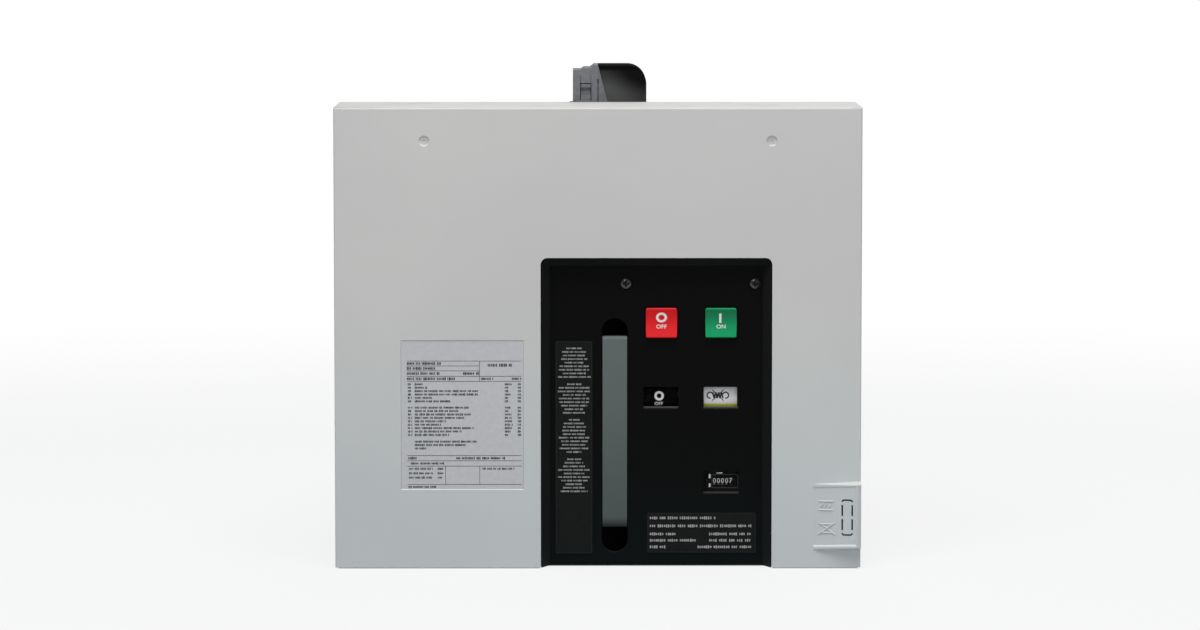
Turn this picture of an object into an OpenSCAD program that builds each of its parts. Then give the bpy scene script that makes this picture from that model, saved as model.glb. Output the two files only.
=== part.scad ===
// Indoor three-pole vacuum circuit breaker: a sheet-metal drive housing with a recessed control
// panel at the front, and three cast-resin poles with their terminals behind it.
// Millimetres. +Z is up, the front faces -Y, and the origin is the middle of the housing's base.

/* [Front cover] */
// Width of the front cover
cover_w = 450; // [440:1:480]
// Height of the front cover
cover_h = 394; // [385:1:430]
// Gap between the floor and the cover's lower edge
cover_floor_gap = 1; // [0.5:0.5:4]
// Thickness of the cover's sheet
cover_t = 2; // [1.5:0.5:3]
// Outer radius of the cover's bends
bend_r = 1.5; // [1:0.5:5]
// Depth of the cover's top and side flanges, from its front face
cover_lap = 110; // [60:1:140]
// Height at which the two cover screws sit
cover_screw_z = 366.8; // [350:0.1:375]
// Distance between the two cover screws
cover_screw_spacing = 296; // [240:0.2:360]
// Radius of the dished seats of the cover screws
cover_screw_r = 4.8; // [4.4:0.1:7]
// How far the cover screws' heads lie below the cover's face
cover_screw_sunk = 1.4; // [0.4:0.1:1.6]

/* [Corner boss] */
// Width of the boss on the cover's lower right corner
boss_w = 40.4; // [34:0.2:60]
// Height of the boss
boss_h = 56.1; // [45:0.1:80]
// Height of the boss's lower edge
boss_z = 16.8; // [8:0.1:40]
// How far the boss stands out at the cover's side
boss_out = 10; // [6:0.5:20]
// How far the boss stands out at its inner edge
boss_in = 0.8; // [0.5:0.1:3]
// Draft angle of the boss's upper and lower faces
boss_draft = 13; // [3:1:18]
// Width of the rim above and below the boss's recess
boss_rim = 2.2; // [1.5:0.1:5]
// Width of the rim between the recess and the cover's side
boss_side_rim = 3.8; // [2:0.1:6]
// How far the recess's edges rise towards the cover's side
boss_rise = 1.6; // [0:0.1:2]
// Width of the sloping edge at the boss's front right corner
boss_edge = 3; // [2:0.5:5]
// Run of the recess's sloping edges
boss_wall = 1.4; // [0.5:0.1:2]
// Depth of the boss's recess
boss_sunk = 0.7; // [0.3:0.1:0.7]
// Width of the knock-out marked in the boss
knock_w = 9.8; // [8:0.1:14]
// Height of the knock-out
knock_h = 31.4; // [24:0.2:38]
// Distance from the cover's right side to the knock-out's centre
knock_inset = 11.9; // [10:0.1:18]
// Width of the knock-out's cuts
knock_cut = 1.4; // [0.8:0.1:2]
// Length of the webs that hold the knock-out
knock_web = 2.6; // [1.5:0.1:4]
// Height of the cuts round the knock-out's ends
knock_cap = 2.3; // [2:0.1:4]

/* [Housing] */
// Depth of the housing with its cover
body_d = 200; // [180:1:240]
// Thickness of the housing's plates
plate_t = 3; // [2:0.5:5]
// Gap between the housing's sides and the cover's side flanges
side_gap = 0.5; // [0.3:0.1:2]
// Height between the housing's top and the underside of the cover
top_gap = 5; // [3:0.5:8]
// Width of the housing's front flanges
flange_w = 18; // [12:1:30]
// Radius of the lifting hole in each side
lift_r = 10; // [8:0.5:14]
// Distance from the housing's back to the lifting holes
lift_back = 45; // [30:1:70]
// Distance from the housing's top down to the lifting holes
lift_drop = 40; // [25:1:60]
// How far the top plate's front tab reaches below the cover screws
tab_margin = 8.8; // [6:0.1:14]

/* [Feet] */
// Width of each foot rail
foot_w = 40; // [30:1:60]
// Thickness of each foot rail
foot_t = 4; // [3:0.5:6]
// How far the foot rails run on behind the housing
foot_tail = 160; // [100:1:220]
// Height of the rail's upright at the housing's back
foot_rise = 60; // [40:1:80]
// Height of the rail's upright at its rear end
foot_low = 20; // [12:1:30]
// Radius of the four fixing holes
foot_hole_r = 5.5; // [4.5:0.5:7]
// Distance from each end of a rail to its fixing hole
foot_hole_inset = 30; // [18:1:60]

/* [Control panel] */
// Width of the cut-out that the control panel fills
panel_w = 197.6; // [180:0.2:220]
// Height of the cut-out, from the cover's lower edge
panel_h = 266; // [255:1:300]
// Centre of the control panel to the right of the housing's middle
panel_x = 49.9; // [30:0.1:70]
// Radius of the cut-out's upper corners
panel_r = 6; // [3:0.5:12]
// Depth of the panel's face behind the cover's face
panel_recess = 14; // [8:0.5:20]
// Width of the panel's sloping rim
rim_w = 6.4; // [3:0.1:8]
// Thickness of the panel's face
panel_t = 3; // [2:0.5:5]
// Distance between the two panel screws
panel_screw_spacing = 110.5; // [90:0.1:130]
// Centre of the panel screws to the right of the housing's middle
panel_screw_x = 79.3; // [60:0.1:90]
// Height of the panel screws
panel_screw_z = 243.9; // [236:0.1:252]
// Radius of the panel screws' heads
panel_screw_r = 4.7; // [3.5:0.1:6]

/* [Buttons] */
// Width of each push button
button_w = 26.8; // [20:0.2:36]
// Height of each push button
button_h = 25.5; // [20:0.1:34]
// Height of the buttons' centre
button_z = 210.4; // [205:0.1:218]
// Centre of the opening button
open_x = 54.4; // [50:0.1:58]
// Centre of the closing button
close_x = 105.3; // [95:0.1:115]
// How far the buttons stand out of the panel
button_out = 4.5; // [2:0.5:8]
// Travel of each button
button_travel = 6; // [3:0.5:8]
// Clearance round each button
button_gap = 0.6; // [0.3:0.1:0.9]
// Width of the bevel round each button's face
button_bevel = 1; // [0.5:0.1:2]
// Depth of the hollow in each button's face
button_hollow = 1; // [0.4:0.1:1.5]

/* [Charging lever] */
// Centre of the lever and of its slot
lever_x = 14.5; // [5:0.1:20]
// Width of the lever
lever_w = 21; // [16:0.1:26]
// Width of the slot
slot_w = 22.4; // [18:0.1:30]
// Height of the slot's lower end
slot_z = 12; // [8:0.5:20]
// Height of the slot's upper end
slot_top_z = 214.2; // [210:0.2:225]
// Height of the lever's upper end
lever_top_z = 198.5; // [180:0.5:202]
// Size of the bevel along the lever's upper front edge
lever_bevel = 2.2; // [1:0.1:4]
// How far the lever's lower end reaches below its pivot
lever_heel = 17.5; // [14:0.5:18]
// Height of the lever's pivot
pivot_z = 52; // [46:0.5:60]
// Radius of the lever's pivot shaft
pivot_r = 5; // [4:0.5:6]
// Running clearance between the lever and its shaft
running_gap = 0.05; // [0.02:0.01:0.08]

/* [Indicators] */
// Width of the position window
position_win_w = 29.9; // [24:0.2:34]
// Centre of the position window
position_x = 54; // [50:0.1:60]
// Width of the spring window
spring_win_w = 30.4; // [24:0.1:34]
// Centre of the spring window
spring_x = 105.2; // [98:0.1:112]
// Height of both windows
win_h = 17.2; // [12:0.2:24]
// Height of both windows' centre
win_z = 146.5; // [135:0.5:158]
// Height of the windows' sloping sills
sill_h = 1.8; // [1:0.1:3]
// Radius of the indicator drums
drum_r = 20; // [16:0.5:22]
// Width of the indicator drums
drum_w = 28.6; // [20:0.2:29.4]
// Radius of the drums' shaft
drum_shaft_r = 3; // [2:0.5:4]

/* [Counter] */
// Width of the counter's window
counter_w = 30.4; // [24:0.1:32]
// Height of the counter's window
counter_h = 18; // [12:0.5:22]
// Centre of the counter's window
counter_x = 105.7; // [100:0.1:115]
// Centre of the row of counter wheels
wheels_x = 107.3; // [104:0.1:108]
// Height of the counter's centre
counter_z = 73.5; // [68:0.5:90]
// Radius of the counter's wheels
wheel_r = 8; // [6:0.5:9]
// Width of one counter wheel
wheel_w = 3.5; // [2.5:0.1:4]
// Height of the slot that the digits show through
digit_slot_h = 6.2; // [5:0.1:12]

/* [Plates and labels] */
// Width of the rating plate
rating_w = 104; // [80:0.1:130]
// Height of the rating plate
rating_h = 127.3; // [100:0.1:150]
// Distance from the cover's left side to the rating plate
rating_inset = 57.1; // [40:0.1:65]
// Lower edge of the rating plate
rating_z = 68.8; // [50:0.1:100]
// Depth of the pocket that the rating plate lies in
pocket_d = 1.1; // [0.7:0.1:1.2]
// Width of the pocket's edge, which slopes at 45 degrees
pocket_bevel = 0.5; // [0.2:0.1:0.7]
// Radius of the rating plate's corners
rating_corner_r = 0.5; // [0.5:0.5:2]
// Width of the tall label
tall_w = 31.8; // [26:0.1:36]
// Height of the tall label
tall_h = 183.7; // [150:0.1:200]
// Left edge of the tall label
tall_x = -36.4; // [-40:0.1:-33]
// Lower edge of the tall label
tall_z = 11; // [8:0.1:30]
// Width of the service label
service_w = 93.7; // [70:0.1:96]
// Height of the service label
service_h = 34.9; // [25:0.1:38]
// Left edge of the service label
service_x = 42.2; // [36:0.1:46]
// Lower edge of the service label
service_z = 11.8; // [8:0.1:18]
// Thickness of the labels
label_t = 0.6; // [0.4:0.1:1]
// Radius of the labels' corners
plate_corner_r = 1.5; // [1:0.5:4]

/* [Poles] */
// Distance from the cover's side to the axis of the pole next to it
pole_inset = 75; // [70:1:85]
// Radius of a pole's resin column
pole_r = 48; // [45:0.5:52]
// Height of a pole's lower end
pole_z = 30; // [20:1:40]
// Height of a pole's upper end
pole_top_z = 358; // [345:1:364]
// Distance from the housing's back to the poles' axis
pole_reach = 84; // [75:1:100]
// How far a shed stands out of the column
shed_out = 5; // [3:0.5:7]
// Thickness of a shed
shed_t = 6; // [4:0.5:8]
// Distance from one shed to the next
shed_pitch = 17; // [13:0.5:20]
// Sheds on a pole
sheds = 7; // [3:1:8]
// Height of the lower terminals
lower_z = 110; // [95:1:120]
// Distance between the lower and the upper terminals
terminal_rise = 205; // [190:1:210]
// Radius of the resin collar round a terminal
collar_r = 33; // [30:0.5:38]
// Radius of a terminal
terminal_r = 24.5; // [17:0.5:28]
// Distance from the housing's back to a terminal's end
terminal_reach = 224; // [200:1:260]
// How far a terminal stands out of its collar
terminal_out = 36; // [20:1:50]
// Radius of the threaded hole in a terminal
terminal_hole_r = 6; // [4:0.5:8]
// Depth of the threaded hole in a terminal
terminal_hole_d = 26; // [15:1:34]

/* [Control cable plug] */
// Left edge of the plug's latch block
block_x = -21.6; // [-30:0.1:-15]
// Width of the latch block
block_w = 22; // [16:0.5:28]
// Height of the latch block's top
block_top_z = 422.3; // [415:0.1:430]
// Height of the step in the latch block's top
block_step_z = 424; // [418:0.1:430]
// How far the latch block's flank runs out under the hood
flank_run = 8.8; // [5:0.1:12]
// How far the hood lies behind the latch block's face
hood_set = 3.5; // [2:0.1:6]
// Width of the latch's window
latch_w = 9.8; // [7:0.1:12]
// Height of the latch's window
latch_h = 15.2; // [10:0.1:18]
// Distance from the latch block's side to the latch's window
latch_inset = 6.4; // [4:0.1:9]
// Length of the grooves above the latch's window
groove_l = 6.4; // [3:0.1:8]
// Width of the plug's hood
hood_w = 42.3; // [36:0.1:50]
// Height of the hood's top
hood_top_z = 426.7; // [418:0.1:434]
// Radius of the hood's outer corner
hood_r = 16.5; // [8:0.5:20]
// Radius of the hood's upper front edge
hood_edge_r = 7; // [3:0.5:12]
// Depth of the plug
plug_d = 52; // [40:1:58]
// Radius of the conduit outlet at the hood's back
outlet_r = 11; // [8:0.5:13]

/* [Drive] */
// Distance from the panel's back to the drive's front plate
post_l = 37; // [30:1:45]
// Thickness of the drive's front plate
mech_t = 3; // [2:0.5:5]
// Width of the drive's front plate
mech_w = 275; // [262:1:300]
// Height of the drive's front plate
mech_h = 300; // [285:1:320]
// Left edge of the drive's front plate
mech_left = -130; // [-140:1:-120]
// Radius of the posts that the control panel is screwed to
post_r = 6; // [5:0.5:8]
// Radius of the drive's spacer bars
bar_r = 7; // [5:0.5:10]
// Length of the drive's spacer bars
bar_l = 33; // [25:1:38]
// Distance from the front plate's edges to its spacer bars
bar_inset = 30; // [15:1:40]
// Width of the drive's block
drive_w = 300; // [280:1:340]
// Depth of the drive's block
drive_d = 70; // [50:1:90]
// Height of the drive's block
drive_h = 320; // [300:1:340]
// Length of a screw's shank
shank_l = 12; // [8:1:16]

/* [Hidden] */
$fn = 64;
eps = 0.01;
past = 1;

front_y = -body_d / 2;
back_y = body_d / 2;
cover_top = cover_floor_gap + cover_h;
housing_w = cover_w - 2 * cover_t - 2 * side_gap;
housing_front = front_y + cover_t;
housing_top_z = cover_top - cover_t - top_gap;
side_x = housing_w / 2 - plate_t;
foot_x = housing_w / 2 - foot_w;

panel_face = front_y + panel_recess;
panel_back = panel_face + panel_t;
panel_left = panel_x - panel_w / 2;
rim_gap = 0.2;
rim_set = 0.4;
seat_gap = 0.3;
slot_collar = 6;
mech_face = panel_back + post_l;
block_face = mech_face + bar_l;

pivot_y = mech_face - 18;
lever_front = panel_face;
lever_t = 14;
drum_y = panel_back + 3 + drum_r;
drum_low = 28;
drum_high = 78;
wheel_y = panel_back + 3 + wheel_r;
wheel_shaft_r = 1.5;

pole_pitch = cover_w / 2 - pole_inset;
pole_y = back_y + pole_reach;
upper_z = lower_z + terminal_rise;
terminal_end = back_y + terminal_reach;
collar_end = terminal_end - terminal_out;

plug_y = front_y + cover_lap + 8;
plug_low = housing_top_z + 5;
latch_low = plug_low + 3;
cover_screw_shank = 2.45;
wheels_left = wheels_x - 2.5 * wheel_w;

// A flat shape drawn in X and Z, made solid from y to y + depth
module along_y(y, depth) {
    translate([0, y + depth, 0]) rotate([90, 0, 0]) linear_extrude(depth) children();
}

// A flat shape drawn in Y and Z, made solid from x to x + depth
module along_x(x, depth) {
    translate([x, 0, 0]) rotate([90, 0, 90]) linear_extrude(depth) children();
}

// A rod along X
module rod_x(x, length, y, z, r) {
    along_x(x, length) translate([y, z]) circle(r);
}

// A rod along Y
module rod_y(y, length, x, z, r) {
    along_y(y, length) translate([x, z]) circle(r);
}

// A rectangle with round corners, from its lower left corner
module soft_rect(x, y, w, h, r) {
    translate([x + r, y]) square([w - 2 * r, h]);
    translate([x, y + r]) square([w, h - 2 * r]);
    for (px = [x + r, x + w - r], py = [y + r, y + h - r]) translate([px, py]) circle(r);
}

// A block from its lowest corner
module block(x, y, z, w, d, h) {
    translate([x, y, z]) cube([w, d, h]);
}

// The outside of the folded cover: round bends at its front corners and its upper front edge
module cover_envelope() {
    intersection() {
        translate([0, 0, cover_floor_gap]) linear_extrude(cover_h)
            union() {
                soft_rect(-cover_w / 2, front_y, cover_w, cover_lap / 2, bend_r);
                translate([-cover_w / 2, front_y + bend_r]) square([cover_w, cover_lap - bend_r]);
            }
        along_x(-cover_w / 2 - past, cover_w + 2 * past)
            union() {
                soft_rect(front_y, cover_top - cover_h / 2, cover_lap / 2, cover_h / 2, bend_r);
                translate([front_y, cover_floor_gap]) square([cover_lap, cover_h - bend_r]);
                translate([front_y + bend_r, cover_floor_gap])
                    square([cover_lap - bend_r, cover_h]);
            }
    }
}

// The cut-out that the control panel fills, open at its lower edge, grown by a margin
module panel_outline(grow, low) {
    w = panel_w + 2 * grow;
    top = cover_floor_gap + panel_h + grow;
    r = max(1, panel_r + grow);
    soft_rect(panel_x - w / 2, top - 3 * r, w, 3 * r, r);
    translate([panel_x - w / 2, low]) square([w, top - low - r]);
}

module front_cover() {
    color([0.72, 0.72, 0.71])
    union() {
        difference() {
            cover_envelope();
            block(-cover_w / 2 + cover_t, front_y + cover_t, -past, cover_w - 2 * cover_t,
                cover_lap, cover_top - cover_t + past);
            along_y(front_y - past, cover_t + 2 * past) panel_outline(0, -past);
            for (side = [-1, 1]) screw_seat(side, -past, cover_t + past, cover_screw_r);
            rating_pocket();
        }
        block(-housing_w / 2, front_y + cover_lap - cover_t, housing_top_z, housing_w, cover_t,
            top_gap + eps);
    }
}

module pocket_outline(grow) {
    translate([-cover_w / 2 + rating_inset - grow, rating_z - grow])
        square([rating_w + 2 * grow, rating_h + 2 * grow]);
}

// The pocket for the rating plate: its edge slopes, and then drops beside the plate
module rating_pocket() {
    margin = 0.1;
    hull()
        for (depth = [-past, pocket_bevel - eps])
            along_y(front_y + depth, eps) pocket_outline(pocket_bevel - depth + margin);
    along_y(front_y, pocket_d) pocket_outline(margin);
}

// A cone at a cover screw, from one depth below the cover's face to another. It has radius r at the
// face, and narrows at 45 degrees.
module screw_seat(side, from, to, r) {
    translate([side * cover_screw_spacing / 2, front_y + from, cover_screw_z]) rotate([-90, 0, 0])
        rotate_extrude() polygon([[0, 0], [r - from, 0], [r - to, to - from], [0, to - from]]);
}

// The broken outline of a knock-out, with webs left across its long sides
module knock_out() {
    x = cover_w / 2 - knock_inset - knock_w / 2;
    z = boss_z + (boss_h - knock_h) / 2;
    r = 2.4;
    dash = (knock_h - 2 * knock_cap - 3 * knock_web) / 2;
    difference() {
        soft_rect(x, z, knock_w, knock_h, r);
        soft_rect(x + knock_cut, z + knock_cut, knock_w - 2 * knock_cut, knock_h - 2 * knock_cut,
            r - knock_cut);
        for (i = [0:2])
            translate([x - past, z + knock_cap + i * (knock_web + dash)])
                square([knock_w + 2 * past, knock_web]);
    }
}

// A corner of the boss's recess at a depth below the sloping face: its edges close in with the depth
function recess_corner(side, upper, depth, slope) =
    let (inset = boss_wall * depth / boss_sunk,
        run = side > 0 ? boss_w - boss_side_rim - inset : -past,
        z = upper > 0 ? boss_z + boss_h - boss_rim - inset : boss_z + boss_rim + inset)
    [cover_w / 2 - boss_w + run, front_y - boss_in - slope * run + depth, z + boss_rise * run / boss_w];

// The recess in the boss's face, open on the left, with sloping edges on its other sides
module boss_recess(slope) {
    polyhedron(
        [for (depth = [-past, boss_sunk], corner = [[-1, -1], [1, -1], [1, 1], [-1, 1]])
            recess_corner(corner[0], corner[1], depth, slope)],
        [[3, 2, 1, 0], [4, 5, 6, 7], [0, 1, 5, 4], [1, 2, 6, 5], [2, 3, 7, 6], [3, 0, 4, 7]]);
}

// A wedge that rises towards the cover's side, with a shallow recess in its sloping face. Its upper
// face is drafted so that its front edge stays level, its lower face straight from the cover.
module corner_boss() {
    right = cover_w / 2;
    left = right - boss_w;
    slope = (boss_out - boss_in) / boss_w;
    tilt = atan(slope * tan(boss_draft));
    far = 3 * boss_h;
    knock_floor = 3;
    color([0.72, 0.72, 0.71])
    difference() {
        translate([0, 0, boss_z - boss_out]) linear_extrude(boss_h + 2 * boss_out)
            polygon([[left, front_y], [left, front_y - boss_in],
                [right - boss_edge, front_y - boss_out + boss_edge * slope],
                [right, front_y - boss_out + boss_edge],
                [right, front_y + bend_r], [right - bend_r, front_y]]);
        translate([left, front_y - boss_in, boss_z + boss_h]) rotate([boss_draft, -tilt, 0])
            translate([-far, -far, 0]) cube([2 * far, 2 * far, far]);
        translate([left, front_y, boss_z]) rotate([-boss_draft, 0, 0])
            translate([-far, -far, -far]) cube([2 * far, 2 * far, far]);
        boss_recess(slope);
        along_y(front_y - 2 * boss_out, 2 * boss_out - knock_floor) knock_out();
        cover_envelope();
    }
}

module housing_side(side) {
    color([0.62, 0.64, 0.65])
    difference() {
        union() {
            block(side > 0 ? side_x : -side_x - plate_t, housing_front, foot_t, plate_t,
                back_y - plate_t - housing_front, housing_top_z - plate_t - foot_t);
            block(side > 0 ? side_x - flange_w : -side_x, housing_front, foot_t, flange_w,
                plate_t, housing_top_z - plate_t - foot_t);
        }
        rod_x(side * side_x - side * past - (side > 0 ? 0 : plate_t + past), plate_t + 2 * past,
            lift_y(), lift_z(), lift_r);
    }
}

function lift_y() = back_y - lift_back;
function lift_z() = housing_top_z - lift_drop;

module housing_left_side() { housing_side(-1); }
module housing_right_side() { housing_side(1); }

module housing_top() {
    tab_z = cover_screw_z - tab_margin;
    color([0.62, 0.64, 0.65])
    difference() {
        union() {
            block(-housing_w / 2, housing_front, housing_top_z - plate_t, housing_w,
                back_y - housing_front, plate_t);
            block(-side_x + flange_w, housing_front, tab_z, 2 * (side_x - flange_w), plate_t,
                housing_top_z - plate_t - tab_z + eps);
        }
        for (side = [-1, 1])
            rod_y(housing_front - past, plate_t + 2 * past, side * cover_screw_spacing / 2,
                cover_screw_z, cover_screw_shank + running_gap);
    }
}

module base_plate() {
    color([0.62, 0.64, 0.65])
    difference() {
        block(-foot_x, housing_front, 0, 2 * foot_x, back_y - plate_t - housing_front, plate_t);
        block(panel_left - past, housing_front - past, -past, panel_w + 2 * past,
            panel_back + seat_gap - housing_front + past, plate_t + 2 * past);
    }
}

module rear_plate() {
    color([0.62, 0.64, 0.65])
    difference() {
        block(-housing_w / 2, back_y - plate_t, foot_t, housing_w, plate_t,
            housing_top_z - plate_t - foot_t);
        rod_y(back_y - plate_t - past, plate_t + 2 * past, earth_x(), earth_z(), earth_r());
    }
}

function earth_x() = pole_pitch / 2;
function earth_z() = 60;
function earth_r() = 5;

module foot(side) {
    x = side > 0 ? foot_x : -foot_x - foot_w;
    length = back_y + foot_tail - housing_front;
    color([0.55, 0.57, 0.58])
    difference() {
        union() {
            block(x, housing_front, 0, foot_w, length, foot_t);
            along_x(side > 0 ? foot_x + foot_w - foot_t : -foot_x - foot_w, foot_t)
                polygon([[back_y, foot_t - eps], [back_y, foot_rise],
                    [back_y + foot_tail / 8, foot_rise], [back_y + foot_tail, foot_low],
                    [back_y + foot_tail, foot_t - eps]]);
        }
        for (y = [housing_front + foot_hole_inset, back_y + foot_tail - foot_hole_inset])
            translate([side * (foot_x + foot_w / 2), y, -past]) cylinder(foot_t + 2 * past,
                foot_hole_r, foot_hole_r);
    }
}

module left_foot() { foot(-1); }
module right_foot() { foot(1); }

// The drive's front plate, with the posts that the control panel is screwed to
module mechanism_plate() {
    color([0.5, 0.52, 0.53])
    difference() {
        union() {
            block(mech_left, mech_face, plate_t, mech_w, mech_t, mech_h);
            for (side = [-1, 1])
                rod_y(panel_back, post_l + eps, panel_screw_x + side * panel_screw_spacing / 2,
                    panel_screw_z, post_r);
            for (x = [mech_left + bar_inset, mech_left + mech_w - bar_inset],
                z = [plate_t + bar_inset, plate_t + mech_h - bar_inset])
                rod_y(mech_face, bar_l, x, z, bar_r);
        }
        for (side = [-1, 1])
            rod_y(panel_back - past, shank_l + 2 * past, panel_screw_x + side * panel_screw_spacing / 2,
                panel_screw_z, panel_screw_r * 0.5);
        for (x = [open_x, close_x]) rod_y(mech_face - past, mech_t + 2 * past, x, button_z, 4.4);
    }
}

module mechanism_block() {
    color([0.4, 0.42, 0.43])
    block(-drive_w / 2, block_face, plate_t, drive_w, drive_d, drive_h);
}

module control_panel() {
    low = cover_floor_gap;
    front = front_y + rim_set;
    collar = 9;
    color([0.07, 0.07, 0.075])
    difference() {
        union() {
            along_y(front, panel_back - front) panel_outline(-rim_gap, low);
            for (x = [open_x, close_x])
                along_y(panel_back - eps, collar)
                    square_ring(x, button_z, button_w + 2 * button_gap, button_h + 2 * button_gap, 2);
            along_y(panel_back - eps, slot_collar)
                difference() {
                    lever_slot(2);
                    lever_slot();
                }
        }
        hull() {
            along_y(front - eps, 0.02) panel_outline(-1.2, -20);
            along_y(panel_face - 0.02, 0.02) panel_outline(-rim_w - 1.2, -20);
        }
        along_y(front - past, panel_back - front + 2 * past) {
            lever_slot();
            for (x = [open_x, close_x])
                soft_rect(x - button_w / 2 - button_gap, button_z - button_h / 2 - button_gap,
                    button_w + 2 * button_gap, button_h + 2 * button_gap, 2);
            soft_rect(position_x - position_win_w / 2, win_z - win_h / 2, position_win_w, win_h, 1);
            soft_rect(spring_x - spring_win_w / 2, win_z - win_h / 2, spring_win_w, win_h, 1);
            soft_rect(counter_x - counter_w / 2, counter_z - counter_h / 2, counter_w, counter_h, 1);
        }
        sill(position_x, win_z - win_h / 2, position_win_w);
        sill(spring_x, win_z - win_h / 2, spring_win_w);
        sill(counter_x, counter_z - counter_h / 2, counter_w);
        for (side = [-1, 1]) {
            x = panel_screw_x + side * panel_screw_spacing / 2;
            rod_y(panel_face - past, 1.5 + past, x, panel_screw_z, panel_screw_r + 1.1);
            rod_y(panel_face - past, panel_t + 2 * past, x, panel_screw_z, panel_screw_r * 0.6);
        }
    }
}

// A slot with round ends, from its lower to its upper end, grown by a margin
module lever_slot(grow = 0) {
    r = slot_w / 2;
    for (z = [slot_z + r, slot_top_z - r]) translate([lever_x, z]) circle(r + grow);
    translate([lever_x - r - grow, slot_z + r]) square([2 * (r + grow), slot_top_z - slot_z - 2 * r]);
}

// The sloping lower edge of a window
module sill(x, z, w) {
    along_x(x - w / 2, w)
        polygon([[panel_face - past, z - sill_h * (1 + past / panel_t)], [panel_back, z],
            [panel_back, z + sill_h], [panel_face - past, z + sill_h]]);
}

module square_ring(x, z, w, h, wall) {
    difference() {
        soft_rect(x - w / 2 - wall, z - h / 2 - wall, w + 2 * wall, h + 2 * wall, 3);
        soft_rect(x - w / 2, z - h / 2, w, h, 2);
    }
}

module panel_screws() {
    color([0.1, 0.1, 0.1])
    for (side = [-1, 1]) {
        x = panel_screw_x + side * panel_screw_spacing / 2;
        rod_y(panel_face + 1.5 - 2.6, 2.6, x, panel_screw_z, panel_screw_r);
        rod_y(panel_face + 1.5 - eps, shank_l, x, panel_screw_z, panel_screw_r * 0.5 - 0.05);
    }
}

module cover_screws() {
    color([0.7, 0.7, 0.69])
    for (side = [-1, 1]) {
        screw_seat(side, cover_screw_sunk, cover_t, cover_screw_r - running_gap);
        rod_y(front_y + cover_t - eps, shank_l, side * cover_screw_spacing / 2, cover_screw_z,
            cover_screw_shank);
    }
}

// A button with a bevelled and hollowed face, on a stem that runs back through the drive's front
// plate
module push_button(x) {
    front = panel_face - button_out;
    length = button_out + panel_t + 9;
    left = x - button_w / 2;
    low = button_z - button_h / 2;
    stem_r = 4;
    hollow_r = (button_h * button_h / 4 + button_hollow * button_hollow) / (2 * button_hollow);
    union() {
        difference() {
            intersection() {
                along_y(front, length) soft_rect(left, low, button_w, button_h, 2);
                along_z(low, button_h) bevelled(left, front, button_w, length);
                along_x(left, button_w) mirror([1, -1]) bevelled(low, front, button_h, length);
            }
            rod_x(left - past, button_w + 2 * past, front + button_hollow - hollow_r, button_z, hollow_r,
                $fn = 192);
        }
        rod_y(front + length - eps, mech_face + mech_t + 4 - front - length, x, button_z, stem_r);
    }
}

// A rectangle whose two lower corners are cut off by the width of a button's bevel
module bevelled(x, y, w, h) {
    polygon([[x, y + h], [x, y + button_bevel], [x + button_bevel, y], [x + w - button_bevel, y],
        [x + w, y + button_bevel], [x + w, y + h]]);
}

module open_button() { color([0.75, 0.12, 0.14]) push_button(open_x); }
module close_button() { color([0.05, 0.5, 0.33]) push_button(close_x); }

// The lever: a straight grip with a bevelled top edge, in front of a round hub and a little past it
module charging_lever() {
    back = lever_front + lever_t;
    hub = 13;
    heel_t = 6;
    color([0.33, 0.36, 0.36])
    difference() {
        union() {
            rod_x(lever_x - lever_w / 2, lever_w, pivot_y, pivot_z, hub);
            along_x(lever_x - lever_w / 2, lever_w)
                polygon([[lever_front, pivot_z - lever_heel], [lever_front, lever_top_z - lever_bevel],
                    [lever_front + lever_bevel, lever_top_z], [back, lever_top_z],
                    [back, pivot_z + 24], [pivot_y + 9, pivot_z + 8], [pivot_y + 8, pivot_z - 8],
                    [pivot_y - 8, pivot_z - 10], [lever_front + heel_t, pivot_z - lever_heel]]);
        }
        rod_x(lever_x - lever_w, 2 * lever_w, pivot_y, pivot_z, pivot_r + running_gap);
    }
}

module lever_shaft() {
    reach = slot_w / 2 + 6;
    color([0.7, 0.7, 0.7]) rod_x(lever_x - reach, 2 * reach, pivot_y, pivot_z, pivot_r);
}

module lever_bracket() {
    inner = slot_w / 2 + 0.6;
    color([0.5, 0.52, 0.53])
    difference() {
        union() {
            for (x = [lever_x - inner - 3, lever_x + inner])
                along_x(x, 3) union() {
                    translate([pivot_y, pivot_z]) circle(11);
                    translate([pivot_y, pivot_z - 11]) square([mech_face - pivot_y, 22]);
                }
            block(lever_x - inner - 3, mech_face - 3, pivot_z - 11, 2 * inner + 6, 3, 22);
        }
        rod_x(lever_x - inner - 4, 2 * inner + 8, pivot_y, pivot_z, pivot_r);
    }
}

// A drum's shell from drum_low degrees below the front to drum_high degrees above it
module drum(x) {
    far = 3 * drum_r;
    along_x(x - drum_w / 2, drum_w) translate([drum_y, win_z]) drum_shell(far);
    along_x(x - 1.5, 3) translate([drum_y, win_z])
        difference() {
            intersection() { circle(drum_r - 1); drum_wedge(far); }
            circle(drum_shaft_r + running_gap);
        }
    along_x(x - drum_w / 2, drum_w) translate([drum_y, win_z])
        difference() {
            circle(drum_shaft_r + 2.5);
            circle(drum_shaft_r + running_gap);
        }
}

module drum_wedge(far) {
    polygon([[0, 0], [-far * cos(drum_low), -far * sin(drum_low)], [-far * 1.5, 0],
        [-far, far], [-far * cos(drum_high), far * sin(drum_high)]]);
}

module drum_shell(far) {
    intersection() {
        difference() { circle(drum_r); circle(drum_r - 2); }
        drum_wedge(far);
    }
}

module position_indicator() { color([0.1, 0.1, 0.1]) drum(position_x); }
module spring_indicator() { color([0.85, 0.85, 0.85]) drum(spring_x); }

module indicator_shaft() {
    left = position_x - drum_w / 2 - 5;
    right = spring_x + drum_w / 2 + 5;
    color([0.7, 0.7, 0.7]) rod_x(left, right - left, drum_y, win_z, drum_shaft_r);
}

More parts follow.
